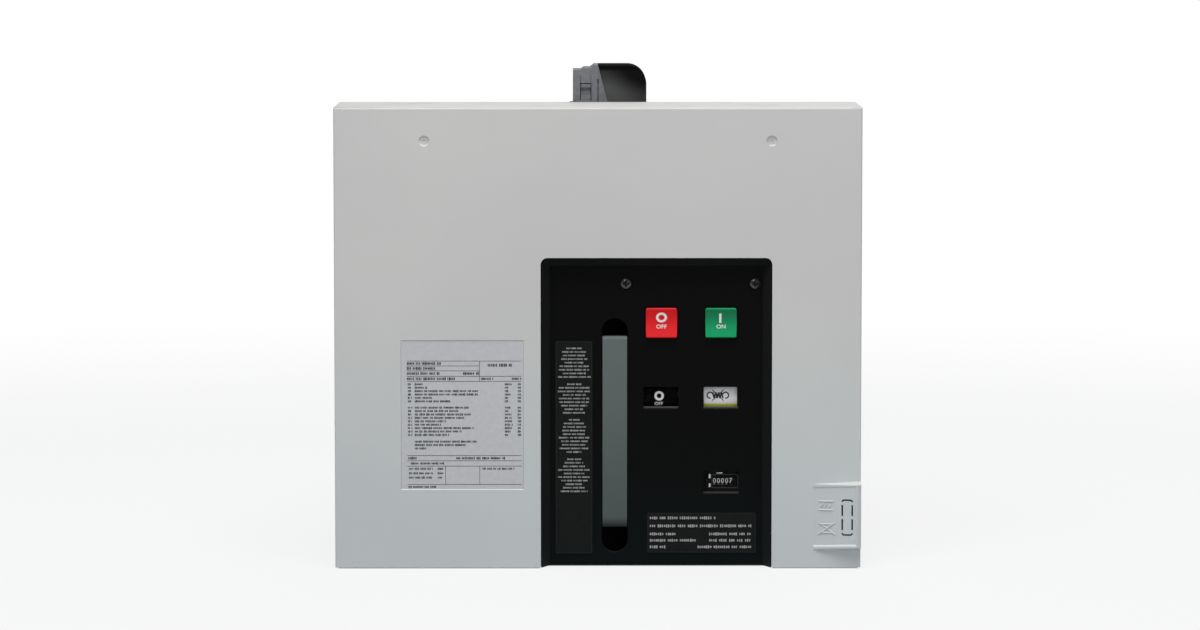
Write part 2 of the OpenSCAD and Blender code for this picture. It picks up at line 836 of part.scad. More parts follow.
module indicator_bracket() {
    color([0.5, 0.52, 0.53])
    difference() {
        for (x = [position_x - drum_w / 2 - 3.5, spring_x + drum_w / 2 + 0.5])
            along_x(x, 3) union() {
                translate([drum_y, win_z]) circle(7);
                translate([drum_y, win_z - 7]) square([mech_face - drum_y, 14]);
            }
        rod_x(position_x - drum_w, spring_x - position_x + 2 * drum_w, drum_y, win_z, drum_shaft_r);
    }
}

module window_pane(x, z, w, h) {
    color([0.8, 0.85, 0.88, 0.4])
    along_y(panel_back, 1) soft_rect(x - w / 2 - 2, z - h / 2 - 2, w + 4, h + 4, 1.5);
}

module position_window() { window_pane(position_x, win_z, position_win_w, win_h); }
module spring_window() { window_pane(spring_x, win_z, spring_win_w, win_h); }
module counter_window() { window_pane(counter_x, counter_z, counter_w, counter_h); }

// The counter's case, with a slot in its face that the digits show through
module counter_body() {
    wall = 1.5;
    face = 1;
    w = counter_w + 4;
    h = 2 * wheel_r + 6;
    front = panel_back + 1;
    slot = 5 * wheel_w + 1;
    color([0.12, 0.12, 0.12])
    difference() {
        block(counter_x - w / 2, front, counter_z - h / 2, w, mech_face - front, h);
        block(counter_x - w / 2 + wall, front + face, counter_z - h / 2 + wall, w - 2 * wall,
            2 * wheel_r + 6, h - 2 * wall);
        block(wheels_x - slot / 2, front - past, counter_z - digit_slot_h / 2, slot, face + 2 * past,
            digit_slot_h);
        rod_x(counter_x - w, 2 * w, wheel_y, counter_z, wheel_shaft_r);
    }
}

module counter_wheel(i) {
    rod_x(wheels_left + i * wheel_w, wheel_w - 0.3, wheel_y, counter_z, wheel_r);
}

module counter_wheels() {
    color([0.1, 0.1, 0.1])
    difference() {
        for (i = [0:3]) counter_wheel(i);
        rod_x(wheels_left - past, 5 * wheel_w, wheel_y, counter_z, wheel_shaft_r + running_gap);
    }
}

module counter_units_wheel() {
    color([0.1, 0.1, 0.1])
    difference() {
        counter_wheel(4);
        rod_x(wheels_left - past, 6 * wheel_w, wheel_y, counter_z, wheel_shaft_r + running_gap);
    }
}

module counter_shaft() {
    reach = counter_w / 2 + 2;
    color([0.7, 0.7, 0.7]) rod_x(counter_x - reach, 2 * reach, wheel_y, counter_z, wheel_shaft_r);
}

module label(x, z, w, h, face, r) {
    along_y(face - label_t, label_t) soft_rect(x, z, w, h, r);
}

module rating_plate() {
    color([0.69, 0.7, 0.71])
    label(-cover_w / 2 + rating_inset, rating_z, rating_w, rating_h, front_y + pocket_d,
        rating_corner_r);
}

module tall_label() {
    color([0.13, 0.13, 0.13])
    label(tall_x, tall_z, tall_w, tall_h, panel_face, plate_corner_r);
}

module service_label() {
    color([0.13, 0.13, 0.13])
    label(service_x, service_z, service_w, service_h, panel_face, plate_corner_r);
}

// Half outline of a resin column, with its sheds between the two terminals
function shed_outline(i) = let (z = shed_start() + i * shed_pitch) [
    [pole_r, z], [pole_r + shed_out, z + 1.5], [pole_r + shed_out, z + shed_t - 1.5],
    [pole_r, z + shed_t]];
function shed_start() = (lower_z + upper_z) / 2 - ((sheds - 1) * shed_pitch + shed_t) / 2;

module pole_column() {
    foot_cut = 4;
    shoulder = 9;
    rotate_extrude()
        polygon(concat([[0, pole_z], [pole_r - foot_cut, pole_z], [pole_r, pole_z + foot_cut]],
            [for (i = [0:sheds - 1]) for (p = shed_outline(i)) p],
            [[pole_r, pole_top_z - shoulder], [pole_r - shoulder, pole_top_z], [0, pole_top_z]]));
}

module pole(i) {
    neck_w = 56;
    seat_w = 92;
    seat_t = 9;
    seat_z = pole_z + 12;
    seat_h = pole_top_z - pole_z - 40;
    color([0.36, 0.2, 0.15])
    translate([i * pole_pitch, 0, 0])
    union() {
        translate([0, pole_y, 0]) pole_column();
        block(-neck_w / 2, back_y, seat_z, neck_w, pole_reach, seat_h);
        block(-seat_w / 2, back_y, seat_z, seat_w, seat_t, seat_h);
        for (z = [lower_z, upper_z]) rod_y(pole_y, collar_end - pole_y, 0, z, collar_r);
    }
}

module pole_left() { pole(-1); }
module pole_centre() { pole(0); }
module pole_right() { pole(1); }

module terminals(z) {
    edge = 2;
    color([0.78, 0.76, 0.74])
    for (i = [-1:1])
        difference() {
            translate([i * pole_pitch, collar_end, z]) rotate([-90, 0, 0]) rotate_extrude()
                polygon([[0, 0], [terminal_r, 0], [terminal_r, terminal_out - edge],
                    [terminal_r - edge, terminal_out], [0, terminal_out]]);
            rod_y(terminal_end - terminal_hole_d, terminal_hole_d + past, i * pole_pitch, z,
                terminal_hole_r);
        }
}

module upper_terminals() { terminals(upper_z); }
module lower_terminals() { terminals(lower_z); }

module earth_terminal() {
    color([0.75, 0.62, 0.3])
    union() {
        rod_y(back_y - plate_t - 8, plate_t + 8 + 22, earth_x(), earth_z(), earth_r());
        rod_y(back_y, 2, earth_x(), earth_z(), 9);
        along_y(back_y + 2 - eps, 8) translate([earth_x(), earth_z()]) circle(9, $fn = 6);
    }
}

module plug_socket() {
    color([0.45, 0.46, 0.47])
    along_z(housing_top_z, 5) soft_rect(block_x - 3, plug_y - 2, block_w + hood_w + 6 - 3,
        plug_d + 4, 3);
}

module along_z(z, h) { translate([0, 0, z]) linear_extrude(h) children(); }

// The latch block's outline in X and Z: its top rises in two steps to the hood, and its right side
// slants outwards
module block_outline() {
    right = block_x + block_w;
    polygon([[block_x, plug_low], [block_x, block_top_z], [block_x + 7, block_top_z],
        [block_x + 9.5, block_step_z], [block_x + 15, block_step_z], [block_x + 18.5, hood_top_z],
        [right, hood_top_z], [right + flank_run, plug_low]]);
}

// The latch block, with a window for its latch, a narrow groove, and a flank that falls back to the
// hood's face
module plug_block() {
    right = block_x + block_w;
    low = plug_low - past;
    high = hood_top_z + past;
    groove_w = 1.4;
    latch_groove_w = 0.8;
    color([0.42, 0.43, 0.44])
    difference() {
        intersection() {
            along_y(plug_y, plug_d) block_outline();
            hull() {
                along_y(plug_y, eps)
                    polygon([[block_x - past, low], [block_x - past, high], [right, high],
                        [right + groove_w, low]]);
                along_y(plug_y + hood_set, plug_d)
                    polygon([[block_x - past, low], [block_x - past, high],
                        [right + past, high], [right + flank_run + past, low]]);
            }
        }
        block(block_x + latch_inset, plug_y - past, latch_low, latch_w, 6 + past, latch_h);
        for (x = [0, latch_w - latch_groove_w])
            block(block_x + latch_inset + x, plug_y - past, latch_low + latch_h - eps, latch_groove_w,
                latch_groove_w + past, groove_l);
        block(right - groove_w / 2, plug_y - past, low, groove_w, 2 + past, block_top_z - low - 8);
    }
}

// The hood, rounded at its outer corner and its upper front edge, with the conduit's outlet behind
module plug_hood() {
    x = block_x + block_w;
    h = hood_top_z - plug_low;
    front = plug_y + hood_set;
    back = plug_y + plug_d;
    color([0.15, 0.15, 0.15])
    difference() {
        intersection() {
            along_y(front, back - front)
                difference() {
                    union() {
                        translate([x, plug_low]) square([hood_w, h - hood_r]);
                        translate([x, plug_low]) square([hood_w - hood_r, h]);
                        translate([x + hood_w - hood_r, hood_top_z - hood_r]) circle(hood_r);
                    }
                    block_outline();
                }
            along_x(x, hood_w)
                union() {
                    translate([front, plug_low]) square([back - front, h - hood_edge_r]);
                    translate([front + hood_edge_r, plug_low]) square([back - front - hood_edge_r, h]);
                    translate([front + hood_edge_r, hood_top_z - hood_edge_r]) circle(hood_edge_r);
                }
        }
        rod_y(back - 25, 25 + past, x + hood_w / 2, plug_low + h / 2, outlet_r);
    }
}

// The sprung latch that stands in its window, with a finger recess across its middle
module plug_latch() {
    play = 0.7;
    set_back = 0.6;
    recess_d = 3;
    recess_h = 6.8;
    lip = 3.2;
    top = latch_low + latch_h - play;
    color([0.3, 0.31, 0.32])
    difference() {
        block(block_x + latch_inset + play, plug_y + set_back, latch_low, latch_w - 2 * play,
            6 - set_back, latch_h - play);
        block(block_x + latch_inset, plug_y - past, top - lip - recess_h, latch_w, recess_d + past,
            recess_h);
    }
}

front_cover();
corner_boss();
housing_left_side();
housing_right_side();
housing_top();
base_plate();
rear_plate();
left_foot();
right_foot();
mechanism_plate();
mechanism_block();
control_panel();
panel_screws();
cover_screws();
open_button();
close_button();
charging_lever();
lever_shaft();
lever_bracket();
position_indicator();
spring_indicator();
indicator_shaft();
indicator_bracket();
position_window();
spring_window();
counter_body();
counter_wheels();
counter_units_wheel();
counter_shaft();
counter_window();
rating_plate();
tall_label();
service_label();
pole_left();
pole_centre();
pole_right();
upper_terminals();
lower_terminals();
earth_terminal();
plug_socket();
plug_block();
plug_hood();
plug_latch();
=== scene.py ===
import math
import random

import bmesh
import bpy
from mathutils import Matrix, Vector
from mathutils.bvhtree import BVHTree


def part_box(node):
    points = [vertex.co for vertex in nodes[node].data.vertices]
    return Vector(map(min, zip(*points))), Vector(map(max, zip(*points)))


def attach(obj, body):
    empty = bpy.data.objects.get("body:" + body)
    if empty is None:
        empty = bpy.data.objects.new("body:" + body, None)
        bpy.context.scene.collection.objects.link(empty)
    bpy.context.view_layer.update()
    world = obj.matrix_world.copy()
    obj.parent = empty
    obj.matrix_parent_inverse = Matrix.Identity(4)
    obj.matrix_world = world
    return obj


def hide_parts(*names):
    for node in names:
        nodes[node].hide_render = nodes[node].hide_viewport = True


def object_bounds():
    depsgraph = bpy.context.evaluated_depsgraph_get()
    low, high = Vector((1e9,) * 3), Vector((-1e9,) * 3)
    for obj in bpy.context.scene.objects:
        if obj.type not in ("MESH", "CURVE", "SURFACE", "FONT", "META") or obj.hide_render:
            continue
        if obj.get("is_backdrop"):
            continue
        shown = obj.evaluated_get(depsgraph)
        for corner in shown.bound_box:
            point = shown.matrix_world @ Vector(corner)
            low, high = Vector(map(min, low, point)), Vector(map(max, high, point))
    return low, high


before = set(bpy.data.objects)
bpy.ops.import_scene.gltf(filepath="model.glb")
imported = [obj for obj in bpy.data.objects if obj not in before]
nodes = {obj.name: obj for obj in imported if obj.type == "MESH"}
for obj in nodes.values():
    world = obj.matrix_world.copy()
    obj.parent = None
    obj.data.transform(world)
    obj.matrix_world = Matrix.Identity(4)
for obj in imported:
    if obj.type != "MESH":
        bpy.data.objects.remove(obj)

scene = bpy.context.scene
scene.view_settings.view_transform = "Standard"
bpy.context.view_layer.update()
mm = 0.001

# The viewpoint of a catalogue picture: a long lens about four metres in front of the breaker, a little
# above its cover, so that the cover's top flange shows as a thin strip.
picture_width_px = 1200
focal_px = 4716
eye = (-11.1 * mm, -4105.5 * mm, 581.9 * mm)
tilt_down = 5.187
turn_right = 0.184
lens = bpy.data.cameras.new("viewpoint")
lens.sensor_width = 36
lens.lens = focal_px / picture_width_px * lens.sensor_width
lens.clip_end = 60
viewpoint = bpy.data.objects.new("viewpoint", lens)
viewpoint.location = eye
viewpoint.rotation_euler = (math.radians(90 - tilt_down), 0, math.radians(-turn_right))
scene.collection.objects.link(viewpoint)
scene.camera = viewpoint


# The studio: a pale floor that keeps the breaker's shadow, a white surround, and soft lamps. A wire is
# a shader node's socket, and lets a finish be written as plain arithmetic.
class Wire:
    """A socket of a shader tree. Arithmetic on wires adds the Math nodes that it needs."""

    def __init__(self, tree, socket=None):
        self.tree = tree
        self.socket = socket

    def add(self, kind, settings=None, sockets=None, out=0):
        """Adds a node, sets it, fills or links its sockets, and gives its output as a wire."""
        node = self.tree.nodes.new("ShaderNode" + kind)
        for name, value in (settings or {}).items():
            setattr(node, name, value)
        for name, value in (sockets or {}).items():
            if isinstance(value, Wire):
                self.tree.links.new(value.socket, node.inputs[name])
            else:
                node.inputs[name].default_value = value
        return Wire(self.tree, node.outputs[out] if node.outputs else None)

    def math(self, operation, *values):
        return self.add("Math", {"operation": operation}, dict(enumerate(values)))

    def __add__(self, other):
        return self.math("ADD", self, other)

    def __sub__(self, other):
        return self.math("SUBTRACT", self, other)

    def __rsub__(self, other):
        return self.math("SUBTRACT", other, self)

    def __mul__(self, other):
        return self.math("MULTIPLY", self, other)

    def __gt__(self, other):
        return self.math("GREATER_THAN", self, other)

    def __lt__(self, other):
        return self.math("LESS_THAN", self, other)

    __radd__ = __add__
    __rmul__ = __mul__

    def between(self, low, high):
        """0 below low and 1 above high, with a smooth step between them."""
        return self.add("MapRange", {"interpolation_type": "SMOOTHSTEP"},
                        {"Value": self, "From Min": low, "From Max": high})

    def blend(self, first, second):
        """The colour that goes from the first to the second as this wire goes from 0 to 1."""
        ends = [end if isinstance(end, Wire) else (*end, 1) for end in (first, second)]
        return self.add("Mix", {"data_type": "RGBA"}, {0: self, 6: ends[0], 7: ends[1]}, 2)


def begin_finish(name):
    """A new material, and the wire that adds its nodes."""
    material = bpy.data.materials.new(name)
    material.use_nodes = True
    material.node_tree.nodes.clear()
    return material, Wire(material.node_tree)


def own_place(pen):
    """Each point's place in the object's own coordinates."""
    return pen.add("TexCoord", out="Object")


floor_half = 14.0
near_share = 0.82
shadow_reach = 0.9
shadow_end = 2.4
floor_white = (0.50, 0.52, 0.53)
shape = bmesh.new()
bmesh.ops.create_grid(shape, x_segments=1, y_segments=1, size=floor_half)
sheet = bpy.data.meshes.new("floor")
shape.to_mesh(sheet)
shape.free()
floor = bpy.data.objects.new("floor", sheet)
scene.collection.objects.link(floor)
floor_finish, pen = begin_finish("floor")
unlit = pen.add("LightPath", out="Is Camera Ray") + pen.add("LightPath", out="Is Glossy Ray")
unlit = unlit + pen.add("LightPath", out="Is Transmission Ray")
matt = pen.add("BsdfDiffuse", {}, {"Color": (*floor_white, 1)})
glow = pen.add("Emission", {}, {"Color": (1, 1, 1, 1), "Strength": 1.0})
distance = pen.add("VectorMath", {"operation": "LENGTH"}, {0: own_place(pen)}, "Value")
white_share = distance.between(shadow_reach, shadow_end) * (1 - near_share) + near_share
surface = pen.add("MixShader", {}, {0: unlit * white_share, 1: matt, 2: glow})
pen.add("OutputMaterial", {}, {"Surface": surface})
sheet.materials.append(floor_finish)
floor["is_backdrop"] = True

ambient = 0.30
surround = bpy.data.worlds.new("surround")
surround.use_nodes = True
surround.node_tree.nodes.clear()
pen = Wire(surround.node_tree)
direct = pen.add("LightPath", out="Is Camera Ray") + pen.add("LightPath", out="Is Transmission Ray")
level = direct.math("MINIMUM", direct, 1.0) * (1 - ambient) + ambient
sky = pen.add("Background", {}, {"Color": (1, 1, 1, 1), "Strength": level})
pen.add("OutputWorld", {}, {"Surface": sky})
scene.world = surround

lamps = [("key", (-0.9, -1.8, 3.0), 1.5, 47), ("fill", (1.2, -3.2, 1.0), 1.8, 15),
         ("top", (0.2, -1.1, 2.8), 1.2, 39), ("rear", (0.7, 2.2, 2.9), 1.8, 38)]
aim = Vector((0, 0, 0.2))
for name, place, size, power in lamps:
    light = bpy.data.lights.new(name, "AREA")
    light.size = size
    light.energy = power
    lamp = bpy.data.objects.new(name, light)
    lamp.location = place
    lamp.rotation_euler = (aim - Vector(place)).to_track_quat("-Z", "Y").to_euler()
    scene.collection.objects.link(lamp)


# The housing and its feet: plates of zinc-plated steel with a soft spangle, folded and welded at their
# edges. The feet are flanged rails that stand on the floor.
def end_finish(pen, **values):
    """Closes a finish with a Principled shader. A name's underscores stand for spaces."""
    sockets = {name.replace("_", " "): (*value, 1) if isinstance(value, tuple) else value
               for name, value in values.items()}
    pen.add("OutputMaterial", {}, {"Surface": pen.add("BsdfPrincipled", {}, sockets)})


def bumped(pen, height, depth):
    """A normal that rises and falls by so much with a wire."""
    return pen.add("Bump", {}, {"Height": height, "Distance": depth, "Strength": 1.0})


def cloud(pen, scale, detail=2.0):
    """Soft noise on the object's own place, with so many blobs to the metre."""
    return pen.add("TexNoise", {}, {"Vector": own_place(pen), "Scale": scale, "Detail": detail})


def dress(finish, *names):
    """Gives a finish to CAD nodes."""
    for name in names:
        nodes[name].data.materials.clear()
        nodes[name].data.materials.append(finish)


zinc_light = (0.47, 0.49, 0.51)
zinc_dark = (0.36, 0.38, 0.40)
zinc, pen = begin_finish("zinc_plate")
spangle = pen.add("TexVoronoi", {}, {"Vector": own_place(pen), "Scale": 60.0}, "Color")
flake = pen.add("SeparateColor", {}, {"Color": spangle})
smear = cloud(pen, 9, 4)
end_finish(pen, Base_Color=(flake * 0.4 + smear * 0.6).blend(zinc_dark, zinc_light), Metallic=0.9,
           Roughness=flake * 0.06 + smear * 0.16 + 0.36, Normal=bumped(pen, cloud(pen, 500), 0.02 * mm))
dress(zinc, "housing_left_side", "housing_right_side", "housing_top", "base_plate", "rear_plate",
      "left_foot", "right_foot")

# The spring drive inside: a front plate on spacer bars, with its block, brackets and the lever's shaft,
# all phosphated nearly black. The shafts of the indicators and the counter are ground bright. Only
# glimpses of them show through the panel's openings.
phosphate_light = (0.0070, 0.0072, 0.0075)
phosphate_dark = (0.0025, 0.0025, 0.0027)
phosphate, pen = begin_finish("phosphated_steel")
mottle = cloud(pen, 120, 5)
end_finish(pen, Base_Color=mottle.between(0.35, 0.65).blend(phosphate_dark, phosphate_light),
           Roughness=mottle * 0.3 + 0.5, Specular_IOR_Level=0.06, Normal=bumped(pen, mottle, 0.03 * mm))
dress(phosphate, "mechanism_plate", "mechanism_block", "lever_bracket", "indicator_bracket",
      "lever_shaft")


def lathe_marks(pen, axis, scale, distortion):
    """Fine rings along an axis, as turning and grinding leave them."""
    return pen.add("TexWave", {"bands_direction": axis},
                   {"Vector": own_place(pen), "Scale": scale, "Distortion": distortion}, 1)


ground_light = (0.60, 0.60, 0.59)
ground_dark = (0.50, 0.50, 0.50)
bright, pen = begin_finish("ground_steel")
turned = lathe_marks(pen, "X", 900.0, 2.0)
end_finish(pen, Base_Color=cloud(pen, 60).blend(ground_dark, ground_light), Metallic=1.0,
           Roughness=turned * 0.12 + 0.24, Normal=bumped(pen, turned, 0.004 * mm))
dress(bright, "indicator_shaft", "counter_shaft")


# The three poles: columns of cast epoxy resin with moulded sheds, each bolted to the rear plate through
# its seat by six plated hexagon bolts with washers.
def new_piece(name, shape, finish, body, corner=30):
    """An object of a bmesh that rides on a body. Edges sharper than the corner stay crisp."""
    data = bpy.data.meshes.new(name)
    for face in shape.faces:
        face.smooth = True
    shape.to_mesh(data)
    shape.free()
    data.set_sharp_from_angle(angle=math.radians(corner))
    data.materials.append(finish)
    piece = bpy.data.objects.new(name, data)
    scene.collection.objects.link(piece)
    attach(piece, body)
    return piece


def join(shape, part):
    """Adds a finished part to a shape."""
    data = bpy.data.meshes.new("part")
    part.to_mesh(data)
    part.free()
    shape.from_mesh(data)
    bpy.data.meshes.remove(data)


def move(shape, way):
    """Shifts a whole shape."""
    bmesh.ops.translate(shape, verts=shape.verts, vec=way)


def turned_form(shape, outline, steps, place):
    """Spins an outline of (radius, height) pairs, its height along +Y from the place."""
    form = bmesh.new()
    verts = [form.verts.new((radius, height, 0)) for radius, height in outline]
    edges = [form.edges.new(pair) for pair in zip(verts, verts[1:])]
    bmesh.ops.spin(form, geom=verts + edges, cent=(0, 0, 0), axis=(0, 1, 0), angle=2 * math.pi,
                   steps=steps, use_merge=True)
    bmesh.ops.remove_doubles(form, verts=form.verts, dist=1e-6)
    bmesh.ops.recalc_face_normals(form, faces=form.faces)
    move(form, place)
    join(shape, form)


resin_light = (0.20, 0.075, 0.045)
resin_dark = (0.13, 0.045, 0.028)
resin, pen = begin_finish("cast_resin")
flow = cloud(pen, 14, 3)
bloom = cloud(pen, 160, 4)
end_finish(pen, Base_Color=(flow * 0.7 + bloom * 0.3).between(0.3, 0.7).blend(resin_dark, resin_light),
           Roughness=bloom * 0.22 + 0.26, Normal=bumped(pen, bloom, 0.04 * mm))
dress(resin, "pole_left", "pole_centre", "pole_right")

bolt_rows = 3
bolt_inset_x = 9 * mm
bolt_inset_z = 22 * mm
bolt_r = 7.5 * mm
bolt_h = 6.4 * mm
bolt_chamfer = 0.8 * mm
bolt_face_share = 0.82
washer_r = 9 * mm
washer_t = 1.8 * mm
washer_edge = 0.3 * mm
washer_side_share = 0.8
seat_t = 9 * mm
seat_half = 46 * mm
seat_above_foot = 12 * mm
seat_below_top = 28 * mm
back_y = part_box("rear_plate")[1].y
bolt_top = bolt_h + washer_t
washer = [(0, 0), (washer_r, 0), (washer_r, washer_t * washer_side_share),
          (washer_r - washer_edge, washer_t), (0, washer_t)]
bolt_head = [(0, washer_t), (bolt_r, washer_t), (bolt_r, bolt_top - bolt_chamfer),
             (bolt_r * bolt_face_share, bolt_top), (0, bolt_top)]
for name in ("pole_left", "pole_centre", "pole_right"):
    low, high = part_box(name)
    middle = (low.x + high.x) / 2
    lowest = low.z + seat_above_foot + bolt_inset_z
    highest = high.z - seat_below_top - bolt_inset_z
    shape = bmesh.new()
    for side in (-1, 1):
        for row in range(bolt_rows):
            height = lowest + row / (bolt_rows - 1) * (highest - lowest)
            place = Vector((middle + side * (seat_half - bolt_inset_x), back_y + seat_t, height))
            turned_form(shape, washer, 40, place)
            turned_form(shape, bolt_head, 6, place)
    new_piece(name + "_bolts", shape, zinc, "breaker", 25)

# The terminals: turned from copper and silver-plated, each with a tapped hole in its end. The earth
# stud on the rear plate is brass.
silver_clean = (0.74, 0.72, 0.68)
silver_dull = (0.58, 0.53, 0.45)
silver, pen = begin_finish("silver_plate")
rings = lathe_marks(pen, "Y", 500.0, 1.5)
tarnish = cloud(pen, 45, 4).between(0.45, 0.75)
end_finish(pen, Base_Color=tarnish.blend(silver_clean, silver_dull), Metallic=1.0,
           Roughness=rings * 0.1 + tarnish * 0.12 + 0.22, Normal=bumped(pen, rings, 0.006 * mm))
dress(silver, "upper_terminals", "lower_terminals")

brass_clean = (0.62, 0.44, 0.17)
brass_dull = (0.40, 0.27, 0.11)
brass, pen = begin_finish("brass")
dulled = cloud(pen, 90, 4).between(0.4, 0.7)
end_finish(pen, Base_Color=dulled.blend(brass_clean, brass_dull), Metallic=1.0,
           Roughness=dulled * 0.2 + 0.25, Normal=bumped(pen, cloud(pen, 700), 0.01 * mm))
dress(brass, "earth_terminal")


# The front cover: sheet steel, folded at its top and sides, with a fine light grey powder coat that is a
# little dusty on its top flange. The boss on its lower right corner is coated with it. Painted light in
# the coat: its up-facing slopes are painted lighter as a highlight, the boss's knock-out cuts near black
# as shade, and the coat turns cooler towards the foot as a painted reflection of the floor.
def split(pen, vector):
    """The x, y and z of a vector, as three wires."""
    return [pen.add("SeparateXYZ", {}, {"Vector": vector}, part) for part in range(3)]


boss_low, boss_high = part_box("corner_boss")
boss_in = 0.8 * mm
boss_out = 10 * mm
boss_sunk = 0.7 * mm
front_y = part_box("front_cover")[0].y
boss_slope = (boss_out - boss_in) / (boss_high.x - boss_low.x)
knock_x = (207.9 * mm, 218.3 * mm)
knock_z = (29.0 * mm, 60.8 * mm)
knock_shade = (0.5 * mm, 1.3 * mm)
bounce_tint_band = (20 * mm, 260 * mm)
ledge_highlight_top = 300 * mm
flange_z = (393 * mm, 395 * mm)
paint_light = (0.535, 0.532, 0.522)
paint_dark = (0.505, 0.504, 0.496)
bounce_tint_light = (0.503, 0.535, 0.546)
bounce_tint_dark = (0.476, 0.508, 0.520)
painted_ledge_highlight = (0.70, 0.70, 0.69)
painted_cut_shade = (0.030, 0.033, 0.034)
dust = (0.37, 0.365, 0.355)
powder, pen = begin_finish("powder_coat")
tone = cloud(pen, 5, 3)
peel = cloud(pen, 1100, 1)
across, along, height = split(pen, own_place(pen))
inward, upward = split(pen, pen.add("NewGeometry", out="Normal"))[1:]
shade = tone.between(0.3, 0.7)
# Painted reflection: the coat turns a little cooler and bluer towards the cover's foot, as light bounced
# from the pale floor would tint it.
bounce_tinted_coat = shade.blend(bounce_tint_dark, bounce_tint_light)
coat = height.between(*bounce_tint_band).blend(bounce_tinted_coat, shade.blend(paint_dark, paint_light))
# Painted highlight: slopes that face up and forward, below the top flange, are painted a lighter grey,
# as top light would brighten them.
ledge_highlight = upward.between(0.25, 0.55) * (0 - inward).between(0.12, 0.3) * (height < ledge_highlight_top)
depth = along + (across - boss_low.x) * boss_slope - (front_y - boss_in + boss_sunk)
# Painted shade: the narrow knock-out cuts in the boss are painted near black, for the shade that fills
# them.
cut_shade_mask = (across > knock_x[0]) * (across < knock_x[1]) * (height > knock_z[0]) * (height < knock_z[1])
cut_shade_mask = cut_shade_mask * depth.between(*knock_shade)
smudge = cloud(pen, 26, 5).between(0.54, 0.74) * height.between(*flange_z)
speck = cloud(pen, 420, 2).between(0.70, 0.76)
coat = (smudge * 0.5 + speck * 0.12).blend(cut_shade_mask.blend(ledge_highlight.blend(coat, painted_ledge_highlight), painted_cut_shade), dust)
end_finish(pen, Base_Color=coat, Roughness=tone * 0.08 + peel * 0.08 + 0.40,
           Normal=bumped(pen, peel, 0.012 * mm))
dress(powder, "front_cover", "corner_boss")


# The marks cast into the boss: thin raised strokes beside its knock-out, with their edges bevelled and
# the cover's powder coat over them.
def stroke(shape, start, end, width, thickness):
    """A raised bar from start to end, both (x, z), standing out of y = 0 towards the front."""
    run = Vector((end[0] - start[0], 0, end[1] - start[1]))
    middle = Vector((start[0] + end[0], -thickness, start[1] + end[1])) / 2
    turn = Matrix.Rotation(-math.atan2(run.z, run.x), 4, "Y")
    size = Matrix.Diagonal((run.length, thickness, width, 1))
    bmesh.ops.create_cube(shape, size=1, matrix=Matrix.Translation(middle) @ turn @ size)


def soften(shape, width, segments):
    """Bevels every edge of a shape."""
    bmesh.ops.bevel(shape, geom=shape.edges[:], affect="EDGES", offset=width, segments=segments,
                    profile=0.5, material=-1)


mark_left = boss_low.x + 4 * mm
mark_w = 12.6 * mm
mark_h = 7.4 * mm
mark_line = 1.15 * mm
mark_rise = 0.75 * mm
mark_bevel = 0.34 * mm
cross_spread = 1.6 * mm
post_in = 2 * mm
post_lean = 2.4 * mm
post_first = 0.12
post_step = 0.28
upper_mark_z = 51.1 * mm
lower_mark_z = 31.5 * mm
shape = bmesh.new()
for base in (upper_mark_z, lower_mark_z):
    for height in (base, base + mark_h):
        stroke(shape, (mark_left, height), (mark_left + mark_w, height), mark_line, mark_rise)
for part in range(3):
    near = mark_left + mark_w * (post_first + post_step * part)
    stroke(shape, (near, upper_mark_z + post_in), (near + post_lean, upper_mark_z + mark_h - post_in),
           mark_line, mark_rise)
for side in (-1, 1):
    middle = lower_mark_z + mark_h / 2
    reach = side * (mark_h / 2 + cross_spread)
    stroke(shape, (mark_left, middle - reach), (mark_left + mark_w + cross_spread, middle + reach),
           mark_line, mark_rise)
soften(shape, mark_bevel, 1)
for vert in shape.verts:
    vert.co.y += front_y - boss_in + boss_sunk - boss_slope * (vert.co.x - boss_low.x)
new_piece("boss_marks", shape, powder, "breaker")


# The screws: countersunk cross-head screws, painted over in the cover's two dished seats, and black
# oval-head ones that hold the control panel to the drive's posts.
neck_share = 0.8
rim_h = 0.3 * mm
dome_shares = (1, 0.94, 0.82, 0.68, 0.5, 0.34, 0.18)
arm_share = 0.56
blade_share = 0.2
draft_share = 0.03


def cross_screw(name, node, count, crown, back, depth, finish):
    """Stands for a node of like screws side by side: turned heads with a pressed cross recess."""
    low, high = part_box(node)
    head_r = (high.z - low.z) / 2
    shape = bmesh.new()
    for number in range(count):
        x = low.x + head_r + number / (count - 1) * (high.x - low.x - 2 * head_r)
        head = bmesh.new()
        dome = [(head_r * share, crown * share * share) for share in dome_shares]
        rim = [(0, back), (head_r * neck_share, back), (head_r, crown + rim_h)]
        turned_form(head, [*rim, *dome, (0, 0)], 40, (0, 0, 0))
        arm = head_r * arm_share
        blade = head_r * blade_share
        for axis in ((1, 0, 0), (0, 0, 1)):
            for reach in (-arm, -blade, blade, arm):
                everything = head.verts[:] + head.edges[:] + head.faces[:]
                bmesh.ops.bisect_plane(head, geom=everything, dist=1e-7, plane_co=Vector(axis) * reach,
                                       plane_no=axis)
        head.normal_update()
        cross = []
        for face in head.faces:
            spot = face.calc_center_median()
            along = max(abs(spot.x), abs(spot.z))
            across = min(abs(spot.x), abs(spot.z))
            if face.normal.y < -0.5 and along < arm and across < blade:
                cross.append(face)
        bmesh.ops.inset_region(head, faces=cross, thickness=head_r * draft_share, depth=-depth,
                               use_boundary=True, use_even_offset=True)
        move(head, (x, low.y, (low.z + high.z) / 2))
        join(shape, head)
    piece = new_piece(name, shape, finish, "breaker", 35)
    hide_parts(node)


